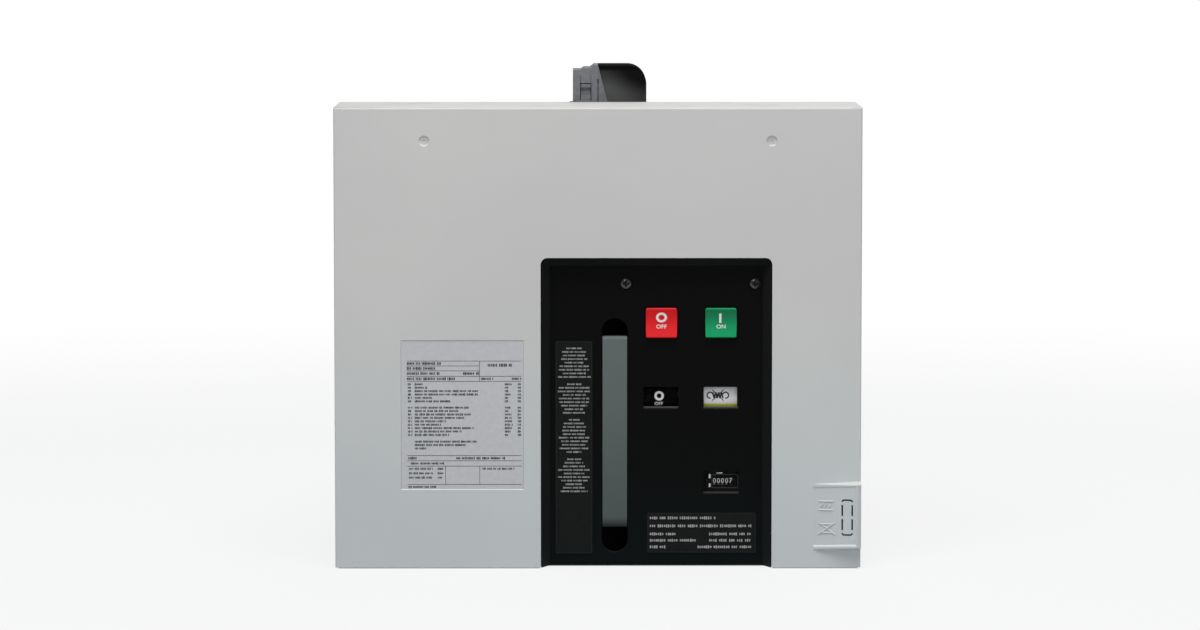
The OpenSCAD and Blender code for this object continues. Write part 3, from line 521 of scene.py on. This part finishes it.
blacking_worn = (0.060, 0.060, 0.061)
blacking_full = (0.038, 0.038, 0.039)
painted_recess_shade = (0.002, 0.002, 0.002)
recess_from = 1.95 * mm
recess_to = 2.1 * mm
blacking, pen = begin_finish("blackened_steel")
tone_share = cloud(pen, 900, 3).between(0.55, 0.75)
head_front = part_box("panel_screws")[0].y
# Painted shade: the deep part of each black screw's cross recess is painted near black.
recess_shade_mask = split(pen, own_place(pen))[1].between(head_front + recess_from, head_front + recess_to)
end_finish(pen, Base_Color=recess_shade_mask.blend(tone_share.blend(blacking_worn, blacking_full), painted_recess_shade),
           Metallic=0.6, Roughness=tone_share * 0.12 + 0.22, Normal=bumped(pen, cloud(pen, 1500), 0.01 * mm))
cross_screw("painted_screws", "cover_screws", count=2, crown=0.1 * mm, back=1.6 * mm, depth=0.5 * mm,
            finish=powder)
cross_screw("blackened_screws", "panel_screws", count=2, crown=1.9 * mm, back=2.55 * mm, depth=2.2 * mm,
            finish=blacking)

# The control panel: one moulding of fine-grained black plastic with a sloping rim, whose slopes are
# painted a lighter black as a sheen. The walls of its lever slot are painted nearly black as shade, and
# a painted highlight lies along its window sills. Clear panes sit behind the windows.
panel_black = (0.0020, 0.0021, 0.0021)
panel_worn = (0.0026, 0.0045, 0.0048)
painted_rim_sheen = (0.0125, 0.0135, 0.0140)
painted_sill_highlight = (0.084, 0.084, 0.085)
panel_shine = 0.05
handled_z = (20 * mm, 160 * mm)
sill_y = -85.2 * mm
sill_edge = 0.4 * mm
sill_x = 36 * mm
sill_shift = 0.7 * mm
window_z = (80 * mm, 120 * mm)
painted_slot_shade = (0.0005, 0.0005, 0.0006)
slot_mid = (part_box("charging_lever")[0].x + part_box("charging_lever")[1].x) / 2
slot_half = 12 * mm
slot_ends = (15 * mm, 240 * mm)
moulding, pen = begin_finish("grained_black_plastic")
grain = cloud(pen, 2600, 1)
across, along, height = split(pen, own_place(pen))
inward, upward = split(pen, pen.add("NewGeometry", out="Normal"))[1:]
handled = 1 - (height + cloud(pen, 18, 4) * 0.04).between(*handled_z)
# Painted sheen: faces that are not flat to the front, chiefly the sloping rim, are painted a lighter
# black, as reflected light.
flat = (0 - inward).between(0.7, 0.97)
plain = flat.blend(painted_rim_sheen, handled.blend(panel_black, panel_worn))
# Painted shade: the walls of the lever slot are painted nearly black, as the deep shade in it.
aside = (across - slot_mid).math("ABSOLUTE")
slot_shade_mask = (aside < slot_half) * (height > slot_ends[0]) * (height < slot_ends[1]) * (1 - flat)
plain = slot_shade_mask.blend(plain, painted_slot_shade)
window = height.between(*window_z)
# Painted highlight: a thin line on the upper part of each window sill is painted pale, as grazing light
# on it.
lit = (along - window * sill_shift).between(sill_y, sill_y + sill_edge)
sill_highlight = upward.between(0.2, 0.5) * lit * (across > sill_x) * (grain * 0.3 + 0.7) * (window * 0.7 + 0.3)
end_finish(pen, Base_Color=sill_highlight.blend(plain, painted_sill_highlight), Roughness=grain * 0.12 + handled * 0.08 + 0.44,
           Specular_IOR_Level=panel_shine, Normal=bumped(pen, grain, 0.014 * mm))
dress(moulding, "control_panel")

pane_tint = (0.020, 0.021, 0.022)
pane, pen = begin_finish("clear_pane")
specks = cloud(pen, 300, 4).between(0.66, 0.82)
end_finish(pen, Base_Color=pane_tint, Roughness=cloud(pen, 40, 3) * 0.06 + 0.04,
           Specular_IOR_Level=0.1, Alpha=specks * 0.03 + 0.02)
dress(pane, "position_window", "spring_window", "counter_window")


# The push buttons: glossy moulded caps, red to open and green to close, each with its sign and its word
# printed in white.
def lettering(words, height, thickness, weight=0.018):
    """Raised letters centred at the origin, facing -Y, with their backs at y = 0."""
    curve = bpy.data.curves.new("letters", "FONT")
    curve.body = words
    curve.extrude = 0.5
    curve.offset = weight
    curve.resolution_u = 4
    holder = bpy.data.objects.new("letters", curve)
    data = bpy.data.meshes.new_from_object(holder)
    shape = bmesh.new()
    shape.from_mesh(data)
    bpy.data.objects.remove(holder)
    bpy.data.meshes.remove(data)
    bmesh.ops.remove_doubles(shape, verts=shape.verts, dist=1e-5)
    upright = Matrix.Rotation(math.pi / 2, 3, "X")
    bmesh.ops.rotate(shape, verts=shape.verts, cent=(0, 0, 0), matrix=upright)
    xs = [vert.co.x for vert in shape.verts]
    zs = [vert.co.z for vert in shape.verts]
    middle = Vector((min(xs) + max(xs), 1, min(zs) + max(zs))) / 2
    size = height / (max(zs) - min(zs))
    move(shape, -middle)
    bmesh.ops.scale(shape, verts=shape.verts, vec=(size, thickness, size))
    return shape


def print_letters(shape, words, height, thickness, x, z):
    """Adds letters to a shape, centred at a place on its front."""
    letters = lettering(words, height, thickness)
    move(letters, (x, 0, z))
    join(shape, letters)


def ring(shape, outer, inner, thickness, x, z):
    """A flat raised ring that stands out of y = 0 towards the front."""
    turned_form(shape, [(inner, 0), (inner, -thickness), (outer, -thickness), (outer, 0), (inner, 0)],
                40, (x, 0, z))


def cut_rows(shape, step, half):
    """Cuts a print into rows that can follow a curved face."""
    rows = int(half / step)
    for row in range(-rows, rows + 1):
        everything = shape.verts[:] + shape.edges[:] + shape.faces[:]
        bmesh.ops.bisect_plane(shape, geom=everything, dist=1e-7, plane_co=(0, 0, row * step),
                               plane_no=(0, 0, 1))


def lay_on(shape, node):
    """Moves a flat print back along Y until it lies on the node's surface."""
    data = nodes[node].data
    corners = [vert.co for vert in data.vertices]
    surface = BVHTree.FromPolygons(corners, [face.vertices for face in data.polygons])
    for vert in shape.verts:
        start = Vector((vert.co.x, -1, vert.co.z))
        vert.co.y += surface.ray_cast(start, Vector((0, 1, 0)))[0].y


def gloss_plastic(name, light, dark, shine=0.3):
    """Glossy moulded plastic with a faint haze."""
    material, pen = begin_finish(name)
    haze = cloud(pen, 220, 4)
    end_finish(pen, Base_Color=haze.between(0.3, 0.7).blend(dark, light),
               Roughness=haze * 0.14 + 0.27, Specular_IOR_Level=shine,
               Normal=bumped(pen, cloud(pen, 1800), 0.004 * mm))
    return material


def cap_plastic_painted_shade(name, light, dark):
    """Glossy plastic with painted shade: deeper where the hollow of a cap faces down, lighter where it
    faces up.
    """
    material, pen = begin_finish(name)
    haze = cloud(pen, 220, 4)
    upward = split(pen, pen.add("NewGeometry", out="Normal"))[2]
    end_finish(pen, Base_Color=(upward.between(-0.13, 0.11) + haze * 0.1).blend(dark, light),
               Roughness=haze * 0.14 + 0.27, Specular_IOR_Level=0.18,
               Normal=bumped(pen, cloud(pen, 1800), 0.004 * mm))
    return material


def printed_white(name, light, dark):
    """White print with small worn flecks."""
    material, pen = begin_finish(name)
    fleck = cloud(pen, 1600, 3).between(0.62, 0.72)
    end_finish(pen, Base_Color=fleck.blend(light, dark), Roughness=fleck * 0.1 + 0.5)
    return material


# Painted shade: each cap's colour goes deeper on the downward-facing upper half of its hollow.
red = cap_plastic_painted_shade("red_plastic", (0.73, 0.017, 0.022), (0.55, 0.003, 0.006))
green = cap_plastic_painted_shade("green_plastic", (0.003, 0.300, 0.115), (0.0007, 0.142, 0.055))
dress(red, "open_button")
dress(green, "close_button")
button_ink = printed_white("button_ink", (0.70, 0.69, 0.69), (0.55, 0.54, 0.54))
white_ink = printed_white("white_ink", (0.90, 0.90, 0.89), (0.66, 0.66, 0.66))

ink_t = 0.12 * mm
sign_rise = 4.2 * mm
ring_rise = 4.8 * mm
word_drop = 3.0 * mm
word_h = 3.4 * mm
word_stretch = 1.12
ring_outer = 4.7 * mm
ring_inner = 2.6 * mm
ring_squash = 0.9
bar_x = -0.6 * mm
bar_half = 4 * mm
bar_w = 2.0 * mm
sign_half = 9 * mm
cap_row = 1 * mm
for node, word in (("open_button", "OFF"), ("close_button", "ON")):
    low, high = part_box(node)
    shape = bmesh.new()
    print_letters(shape, word, word_h, ink_t, 0, -word_drop)
    bmesh.ops.scale(shape, verts=shape.verts, vec=(word_stretch, 1, 1))
    if word == "OFF":
        ring(shape, ring_outer, ring_inner, ink_t, 0, ring_rise / ring_squash)
        for vert in shape.verts:
            if vert.co.z > 0:
                vert.co.z *= ring_squash
    else:
        stroke(shape, (bar_x, sign_rise - bar_half), (bar_x, sign_rise + bar_half), bar_w, ink_t)
    cut_rows(shape, cap_row, sign_half)
    move(shape, ((low.x + high.x) / 2, 0, (low.z + high.z) / 2))
    lay_on(shape, node)
    new_piece(node + "_print", shape, button_ink, node)

# The charging lever: a satin grey moulding on the drive's shaft. Its grey is painted darker towards its
# foot as shade, with a little random wear mixed in, and nearly black where it goes down into the slot.
lever_lit = (0.110, 0.130, 0.130)
lever_shaded = (0.060, 0.078, 0.076)
painted_foot_shade = (0.004, 0.005, 0.005)
lever_foot = 33.5 * mm
foot_shade_rise = 10.5 * mm
shade_fade_z = (30 * mm, 190 * mm)
satin, pen = begin_finish("satin_grey_plastic")
wear = cloud(pen, 30, 4)
height = split(pen, own_place(pen))[2]
# Painted shade: the grey darkens from top to foot by height, with a fifth of random wear mixed in.
height_shade_and_wear = height.between(*shade_fade_z) * 0.8 + wear * 0.2
# Painted shade: the lowest part of the lever's face fades to near black where it enters the slot.
foot_shade_mask = 1 - height.between(lever_foot, lever_foot + foot_shade_rise)
end_finish(pen, Base_Color=foot_shade_mask.blend(height_shade_and_wear.blend(lever_shaded, lever_lit), painted_foot_shade),
           Roughness=wear * 0.15 + 0.42, Specular_IOR_Level=0.2,
           Normal=bumped(pen, cloud(pen, 2200), 0.008 * mm))
dress(satin, "charging_lever")


# The two indicators: plastic drums on one shaft, printed with their states. The position drum is black,
# with a ring and OFF at rest and a bar and ON above. The spring drum is white with a yellow band and a
# spring struck through at rest, and yellow with a plain spring above.
def wrap(shape, node, centre_z, radius, angle):
    """Lays a flat print round a drum along X, so many degrees above the drum's front."""
    low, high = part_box(node)
    for vert in shape.verts:
        turn = math.radians(angle) + vert.co.z / radius
        reach = radius - vert.co.y
        vert.co.y = low.y + radius - reach * math.cos(turn)
        vert.co.z = centre_z + reach * math.sin(turn)


drum_r = 20 * mm
drum_z = (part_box("position_window")[0].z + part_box("position_window")[1].z) / 2
drum_turn = 50
row_step = 1.2 * mm
state_x = -1.4 * mm
state_ring = (4.1 * mm, 2.0 * mm)
state_ring_z = 0.3 * mm
state_bar = (-3.8 * mm, 4.2 * mm)
state_bar_w = 2.3 * mm
state_word_h = 3.1 * mm
state_word_x = -1.7 * mm
state_word_z = -6.6 * mm
flag_black = gloss_plastic("flag_black", (0.0025, 0.0025, 0.0028), (0.0015, 0.0015, 0.0017), 0.02)
flag_white = gloss_plastic("flag_white", (0.95, 0.95, 0.96), (0.89, 0.89, 0.905))
dress(flag_black, "position_indicator")
dress(flag_white, "spring_indicator")
low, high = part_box("position_indicator")
flag_x = (low.x + high.x) / 2
for angle, word in ((0, "OFF"), (drum_turn, "ON")):
    shape = bmesh.new()
    if word == "OFF":
        ring(shape, *state_ring, ink_t, state_x, state_ring_z)
    else:
        stroke(shape, (state_x, state_bar[0]), (state_x, state_bar[1]), state_bar_w, ink_t)
    print_letters(shape, word, state_word_h, ink_t, state_word_x, state_word_z)
    cut_rows(shape, row_step, sign_half)
    move(shape, (flag_x, 0, 0))
    wrap(shape, "position_indicator", drum_z, drum_r, angle)
    new_piece("position_print_" + word.lower(), shape, white_ink, "position_drum")

yellow_deep = (0.74, 0.78, 0.06)
yellow_pale = (0.84, 0.87, 0.09)
ink_full = (0.008, 0.008, 0.009)
ink_thin = (0.03, 0.03, 0.032)
yellow, pen = begin_finish("yellow_ink")
streak = cloud(pen, 800, 3)
end_finish(pen, Base_Color=streak.between(0.3, 0.7).blend(yellow_deep, yellow_pale),
           Roughness=streak * 0.1 + 0.45)
black_ink, pen = begin_finish("black_ink")
fade = cloud(pen, 1200, 3)
end_finish(pen, Base_Color=fade.between(0.4, 0.8).blend(ink_full, ink_thin),
           Roughness=fade * 0.15 + 0.45)
low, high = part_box("spring_indicator")
spring_mid = (low.x + high.x) / 2
band_half = 9.6 * mm
film_t = 0.08 * mm
for angle, bottom, top in ((0, -9.5 * mm, -6.7 * mm), (drum_turn, -8.6 * mm, 9.2 * mm)):
    shape = bmesh.new()
    stroke(shape, (0, bottom), (0, top), high.x - low.x, film_t)
    cut_rows(shape, row_step, band_half)
    move(shape, (spring_mid, 0, 0))
    wrap(shape, "spring_indicator", drum_z, drum_r, angle)
    new_piece("spring_band_%d" % angle, shape, yellow, "spring_drum")

hook_r = 2.6 * mm
hook_x = 6.7 * mm
coil_half = 4.4 * mm
coil_rise = 2.6 * mm
line_w = 1.15 * mm
coil_w = 1.35 * mm
sign_z = 0.8 * mm
sign_left = 2.2 * mm
strike_x = 5 * mm
strike_z = 4.7 * mm
strike_w = 0.6 * line_w
teeth = 7
spring_half = 6 * mm
for angle in (0, drum_turn):
    shape = bmesh.new()
    for side in (-1, 1):
        turns = [math.radians(degrees) for degrees in range(-100, 161, 26)]
        bend = [(side * (hook_x + hook_r * math.cos(turn)), sign_z + hook_r * math.sin(turn))
                for turn in turns]
        for start, end in zip(bend, bend[1:]):
            stroke(shape, start, end, line_w, ink_t)
    zigzag = [(-coil_half + 2 * coil_half * tooth / teeth, sign_z + coil_rise * (-1) ** tooth)
              for tooth in range(teeth + 1)]
    for start, end in zip(zigzag, zigzag[1:]):
        stroke(shape, start, end, coil_w, ink_t)
    if angle == 0:
        for side in (-1, 1):
            stroke(shape, (-strike_x, sign_z - side * strike_z), (strike_x, sign_z + side * strike_z),
                   strike_w, ink_t)
    cut_rows(shape, row_step, spring_half)
    move(shape, (spring_mid - sign_left, 0, 0))
    wrap(shape, "spring_indicator", drum_z, drum_r + film_t, angle)
    new_piece("spring_print_%d" % angle, shape, black_ink, "spring_drum")

# The operations counter: five dark grey wheels with white digits behind a slotted black face, which has
# a thin grey rim, a bright steel arm beside it, and a bright steel bar on its top edge that stands for a
# reflection there, a painted highlight. The rim's lighter grey is partly a painted highlight too. Only
# the units wheel turns by itself.
counter_black = gloss_plastic("counter_black", (0.006, 0.006, 0.0065), (0.0035, 0.0035, 0.004), 0.04)
dress(counter_black, "counter_body")
wheel_grey = gloss_plastic("wheel_grey", (0.019, 0.020, 0.021), (0.012, 0.013, 0.014), 0.1)
dress(wheel_grey, "counter_wheels", "counter_units_wheel")
digit_ink = printed_white("digit_ink", (0.84, 0.84, 0.85), (0.64, 0.64, 0.65))
wheel_r = 8 * mm
digit_h = 4.3 * mm
digit_narrow = 0.86
digit_row = 0.8 * mm
wheels_low, wheels_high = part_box("counter_wheels")
units_low, units_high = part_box("counter_units_wheel")
pitch = (units_low.x - wheels_low.x) / 4
wheel_z = (wheels_low.z + wheels_high.z) / 2
reading = (0, 0, 0, 0, 7)
for body, node, wheels in (("breaker", "counter_wheels", range(4)),
                           ("units_wheel", "counter_units_wheel", (4,))):
    shape = bmesh.new()
    for wheel in wheels:
        middle = wheels_low.x + wheel * pitch + (units_high.x - units_low.x) / 2
        for step in range(10):
            digit = lettering(str((reading[wheel] + step) % 10), digit_h, ink_t, 0.0)
            cut_rows(digit, digit_row, digit_h / 2)
            bmesh.ops.scale(digit, verts=digit.verts, vec=(digit_narrow, 1, 1))
            move(digit, (middle, 0, 0))
            wrap(digit, node, wheel_z, wheel_r, step * 36)
            join(shape, digit)
    new_piece(node + "_digits", shape, digit_ink, body)

face_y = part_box("counter_body")[0].y
arm_x = 96.0 * mm
arm_w = 1.5 * mm
arm_t = 0.5 * mm
arm_bevel = 0.18 * mm
arm_parts = ((75.8 * mm, 79.6 * mm), (68.2 * mm, 71.4 * mm))
glint_bar_x = (101.8 * mm, 107.0 * mm)
glint_bar_z = 80.4 * mm
glint_bar_w = 0.8 * mm
shape = bmesh.new()
for bottom, top in arm_parts:
    stroke(shape, (arm_x, bottom), (arm_x, top), arm_w, arm_t)
# Painted highlight: this bright bar stands for a reflection along the top edge of the counter's face.
stroke(shape, (glint_bar_x[0], glint_bar_z), (glint_bar_x[1], glint_bar_z), glint_bar_w, arm_t)
soften(shape, arm_bevel, 2)
move(shape, (0, face_y, 0))
new_piece("counter_arm", shape, bright, "breaker")

rim_left = 97.8 * mm
rim_right = 120.3 * mm
rim_low = 67.6 * mm
rim_high = 79.0 * mm
rim_w = 0.7 * mm
rim_t = 0.4 * mm
shape = bmesh.new()
for z in (rim_high, rim_low):
    stroke(shape, (rim_left, z), (rim_right, z), rim_w, rim_t)
for x in (rim_left, rim_right):
    stroke(shape, (x, rim_low), (x, rim_high), rim_w, rim_t)
move(shape, (0, face_y, 0))
# Painted highlight, in part: the raised rim is a lighter grey than the face, so that its edges read as a
# highlight.
rim_highlight_grey = gloss_plastic("rim_highlight_grey", (0.045, 0.045, 0.046), (0.03, 0.03, 0.031), 0.1)
new_piece("counter_trim", shape, rim_highlight_grey, "breaker")


# The rating plate: a grey-blue foil, glued to the cover and printed in dark grey. Rows of plain blocks
# between ruled lines stand for its print.
def rule(shape, x0, z0, x1, z1, width=0.35 * mm):
    """A printed line from one place on a label to another."""
    stroke(shape, (x0, z0), (x1, z1), width, ink_t)


def blocks(shape, left, right, z, height, letter=1.0 * mm, words=(3, 9)):
    """A row of plain blocks in the place of print, gathered into words by seeded chance."""
    x = left
    count = chance.randint(*words)
    while x < right:
        width = letter * chance.uniform(0.55, 0.85)
        tall = height * chance.choice((0.72, 0.8, 1.0))
        place = Matrix.Translation((x + width / 2, -ink_t / 2, z))
        size = Matrix.Diagonal((width, ink_t, tall, 1))
        bmesh.ops.create_cube(shape, size=1, matrix=place @ size)
        x += letter
        count -= 1
        if count == 0:
            x += letter * 0.9
            count = chance.randint(*words)


def plain_label(name, light, dark, roughness, shine=0.5):
    """A matt or satin coat of foil, ink or plastic with a fine fibre in it."""
    material, pen = begin_finish(name)
    fibre = cloud(pen, 240, 4)
    end_finish(pen, Base_Color=fibre.between(0.3, 0.7).blend(dark, light),
               Roughness=fibre * 0.12 + roughness, Specular_IOR_Level=shine,
               Normal=bumped(pen, fibre, 0.006 * mm))
    return material


chance = random.Random(7)
foil = plain_label("grey_foil", (0.485, 0.492, 0.510), (0.455, 0.463, 0.482), 0.36)
dress(foil, "rating_plate")
grey_ink = plain_label("grey_ink", (0.050, 0.052, 0.058), (0.035, 0.037, 0.042), 0.5, 0.2)
low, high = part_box("rating_plate")
left = low.x + 4.8 * mm
right = high.x - 1.6 * mm
middle = high.x - 37.2 * mm
column = left + 32.8 * mm
head_z = (161.4 * mm, 178.8 * mm)
foot_z = (72.7 * mm, 88.5 * mm)
shape = bmesh.new()
for z, end in ((178.8, right), (174.6, middle), (170.4, middle), (165.7, right), (161.4, right),
               (97.6, right), (93.1, right), (88.5, right), (72.7, right)):
    rule(shape, left, z * mm, end, z * mm)
rule(shape, middle, head_z[0], middle, head_z[1])
for x in (column, middle):
    rule(shape, x, foot_z[0], x, foot_z[1])
text_h = 1.95 * mm
for z, reach in ((176.7, 29), (172.5, 24), (168.1, 27), (163.6, 40)):
    blocks(shape, left, left + reach * mm, z * mm, 2.5 * mm, 1.3 * mm)
blocks(shape, middle + 7 * mm, right - 8 * mm, 175.2 * mm, 2.6 * mm, 1.4 * mm)
blocks(shape, middle - 14 * mm, middle - 1.5 * mm, 168.1 * mm, 2.5 * mm, 1.4 * mm)
blocks(shape, middle + 1.5 * mm, middle + 12 * mm, 163.6 * mm, 2 * mm, 1.2 * mm)
blocks(shape, right - 8 * mm, right - 0.5 * mm, 163.6 * mm, 2 * mm, 1.2 * mm)
row_pitch = 2.93 * mm
row_in = 6.6
row_lists = ((158.9, True, (7, 10, 55, 54, 15, 30)),
             (138.8, True, (46, 38, 48, 43, 26, 22, 50, 40, 29)),
             (109.6, False, (53, 44, 9)))
for first, has_values, reaches in row_lists:
    for row, reach in enumerate(reaches):
        z = first * mm - row * row_pitch
        blocks(shape, left + row_in * mm, left + (row_in + reach) * mm, z, text_h)
        if has_values:
            blocks(shape, left + 0.8 * mm, left + 4 * mm, z, text_h, words=(2, 3))
            blocks(shape, right - 14 * mm, right - chance.choice((11, 9, 8)) * mm, z, text_h)
            blocks(shape, right - 3 * mm, right - 0.5 * mm, z, text_h)
blocks(shape, left + 1 * mm, left + 8 * mm, 95.3 * mm, 2.2 * mm, 1.25 * mm)
blocks(shape, left + 42 * mm, left + 83 * mm, 95.3 * mm, 2.2 * mm, 1.25 * mm)
blocks(shape, left + 3 * mm, left + 31 * mm, 90.8 * mm, text_h)
for z in (86.2, 82.3, 78.6):
    blocks(shape, left + 1.5 * mm, left + 22 * mm, z * mm, text_h, words=(3, 5))
    blocks(shape, left + 26 * mm, left + 30.5 * mm, z * mm, text_h)
blocks(shape, middle + 2.5 * mm, right - 6 * mm, 86.2 * mm, text_h, words=(3, 4))
blocks(shape, left + 1 * mm, left + 24 * mm, 70.6 * mm, text_h)
move(shape, (0, low.y, 0))
new_piece("rating_print", shape, grey_ink, "breaker")

# The two dark labels on the control panel: satin black foil with small pale print, again as plain
# blocks, in centred paragraphs on the tall one and in columns on the lower one.
dark_foil = plain_label("dark_foil", (0.0072, 0.0078, 0.0080), (0.0056, 0.0062, 0.0064), 0.42, 0.08)
dress(dark_foil, "tall_label", "service_label")
pale_ink = plain_label("pale_ink", (0.36, 0.36, 0.36), (0.27, 0.27, 0.27), 0.5, 0.2)
low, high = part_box("tall_label")
centre = (low.x + high.x) / 2
shape = bmesh.new()
line_pitch = 3.08
half_step = 0.72
small_h = 1.5 * mm
small_pitch = 0.95 * mm
paragraphs = ((188.4, (9, 14, 13, 15, 11, 17, 18, 13, 19)),
              (157.5, (8, 18, 19, 13, 18, 17, 15, 11, 13)),
              (126.8, (6, 12, 13, 14, 13, 18, 15, 14, 17, 9)),
              (92.8, (8, 11, 13, 19, 12, 19, 15, 10, 13, 16)))
for first, widths in paragraphs:
    for row, width in enumerate(widths):
        z = (first - row * line_pitch) * mm
        half = width * half_step * mm
        blocks(shape, centre - half, centre + half, z, small_h, small_pitch)
move(shape, (0, low.y, 0))
new_piece("tall_label_print", shape, pale_ink, "breaker")

low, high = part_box("service_label")
shape = bmesh.new()
left = low.x + 2.4 * mm
large_h = 2.5 * mm
large_pitch = 1.75 * mm
rows = ((42, ((0, 56),)), (35.1, ((0, 88),)), (28.1, ((0, 22), (51, 87))),
        (22.6, ((0, 40), (51, 87))), (16.9, ((0, 13), (41, 87))))
for z, spans in rows:
    for start, end in spans:
        blocks(shape, left + start * mm, left + end * mm, z * mm, large_h, large_pitch)
move(shape, (0, low.y, 0))
new_piece("service_label_print", shape, pale_ink, "breaker")

faint_ink = plain_label("faint_ink", (0.018, 0.019, 0.020), (0.012, 0.013, 0.014), 0.5, 0.1)
frame_in = 0.8 * mm
frame_w = 0.5 * mm
shape = bmesh.new()
for node in ("tall_label", "service_label"):
    low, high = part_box(node)
    for z in (low.z + frame_in, high.z - frame_in):
        rule(shape, low.x + frame_in, z, high.x - frame_in, z, frame_w)
    for x in (low.x + frame_in, high.x - frame_in):
        rule(shape, x, low.z + frame_in, x, high.z - frame_in, frame_w)
move(shape, (0, low.y, 0))
new_piece("label_frames", shape, faint_ink, "breaker")

# The control cable's plug on the housing's top: a grey latch block with a sprung latch, beside a near
# black hood that its cable leaves at the back.
plug_grey = plain_label("plug_grey", (0.175, 0.182, 0.192), (0.140, 0.147, 0.156), 0.44, 0.15)
dress(plug_grey, "plug_socket", "plug_block", "plug_latch")
hood_low, hood_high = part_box("plug_hood")
hood_dark = (0.0020, 0.0020, 0.0022)
hood_painted_light = (0.078, 0.079, 0.080)
hood_black, pen = begin_finish("hood_black")
spot = split(pen, own_place(pen))
rise = spot[2].between(hood_low.z, hood_high.z)
across = spot[0].between(hood_low.x, hood_high.x)
upward = split(pen, pen.add("NewGeometry", out="Normal"))[2]
# Painted light: the hood is painted lighter towards its lower left and near black on its upward faces,
# as light falls on it, with a little noise mixed in.
front = 1 - upward.between(0.05, 0.6)
tone_share = (1 - (rise * 1.1 + across * 0.9).between(0.2, 1.6) + cloud(pen, 60, 4) * 0.1) * front
end_finish(pen, Base_Color=tone_share.blend(hood_dark, hood_painted_light), Roughness=0.6 - front * 0.15,
           Specular_IOR_Level=0.01, Normal=bumped(pen, cloud(pen, 900), 0.01 * mm))
dress(hood_black, "plug_hood")

low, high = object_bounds()
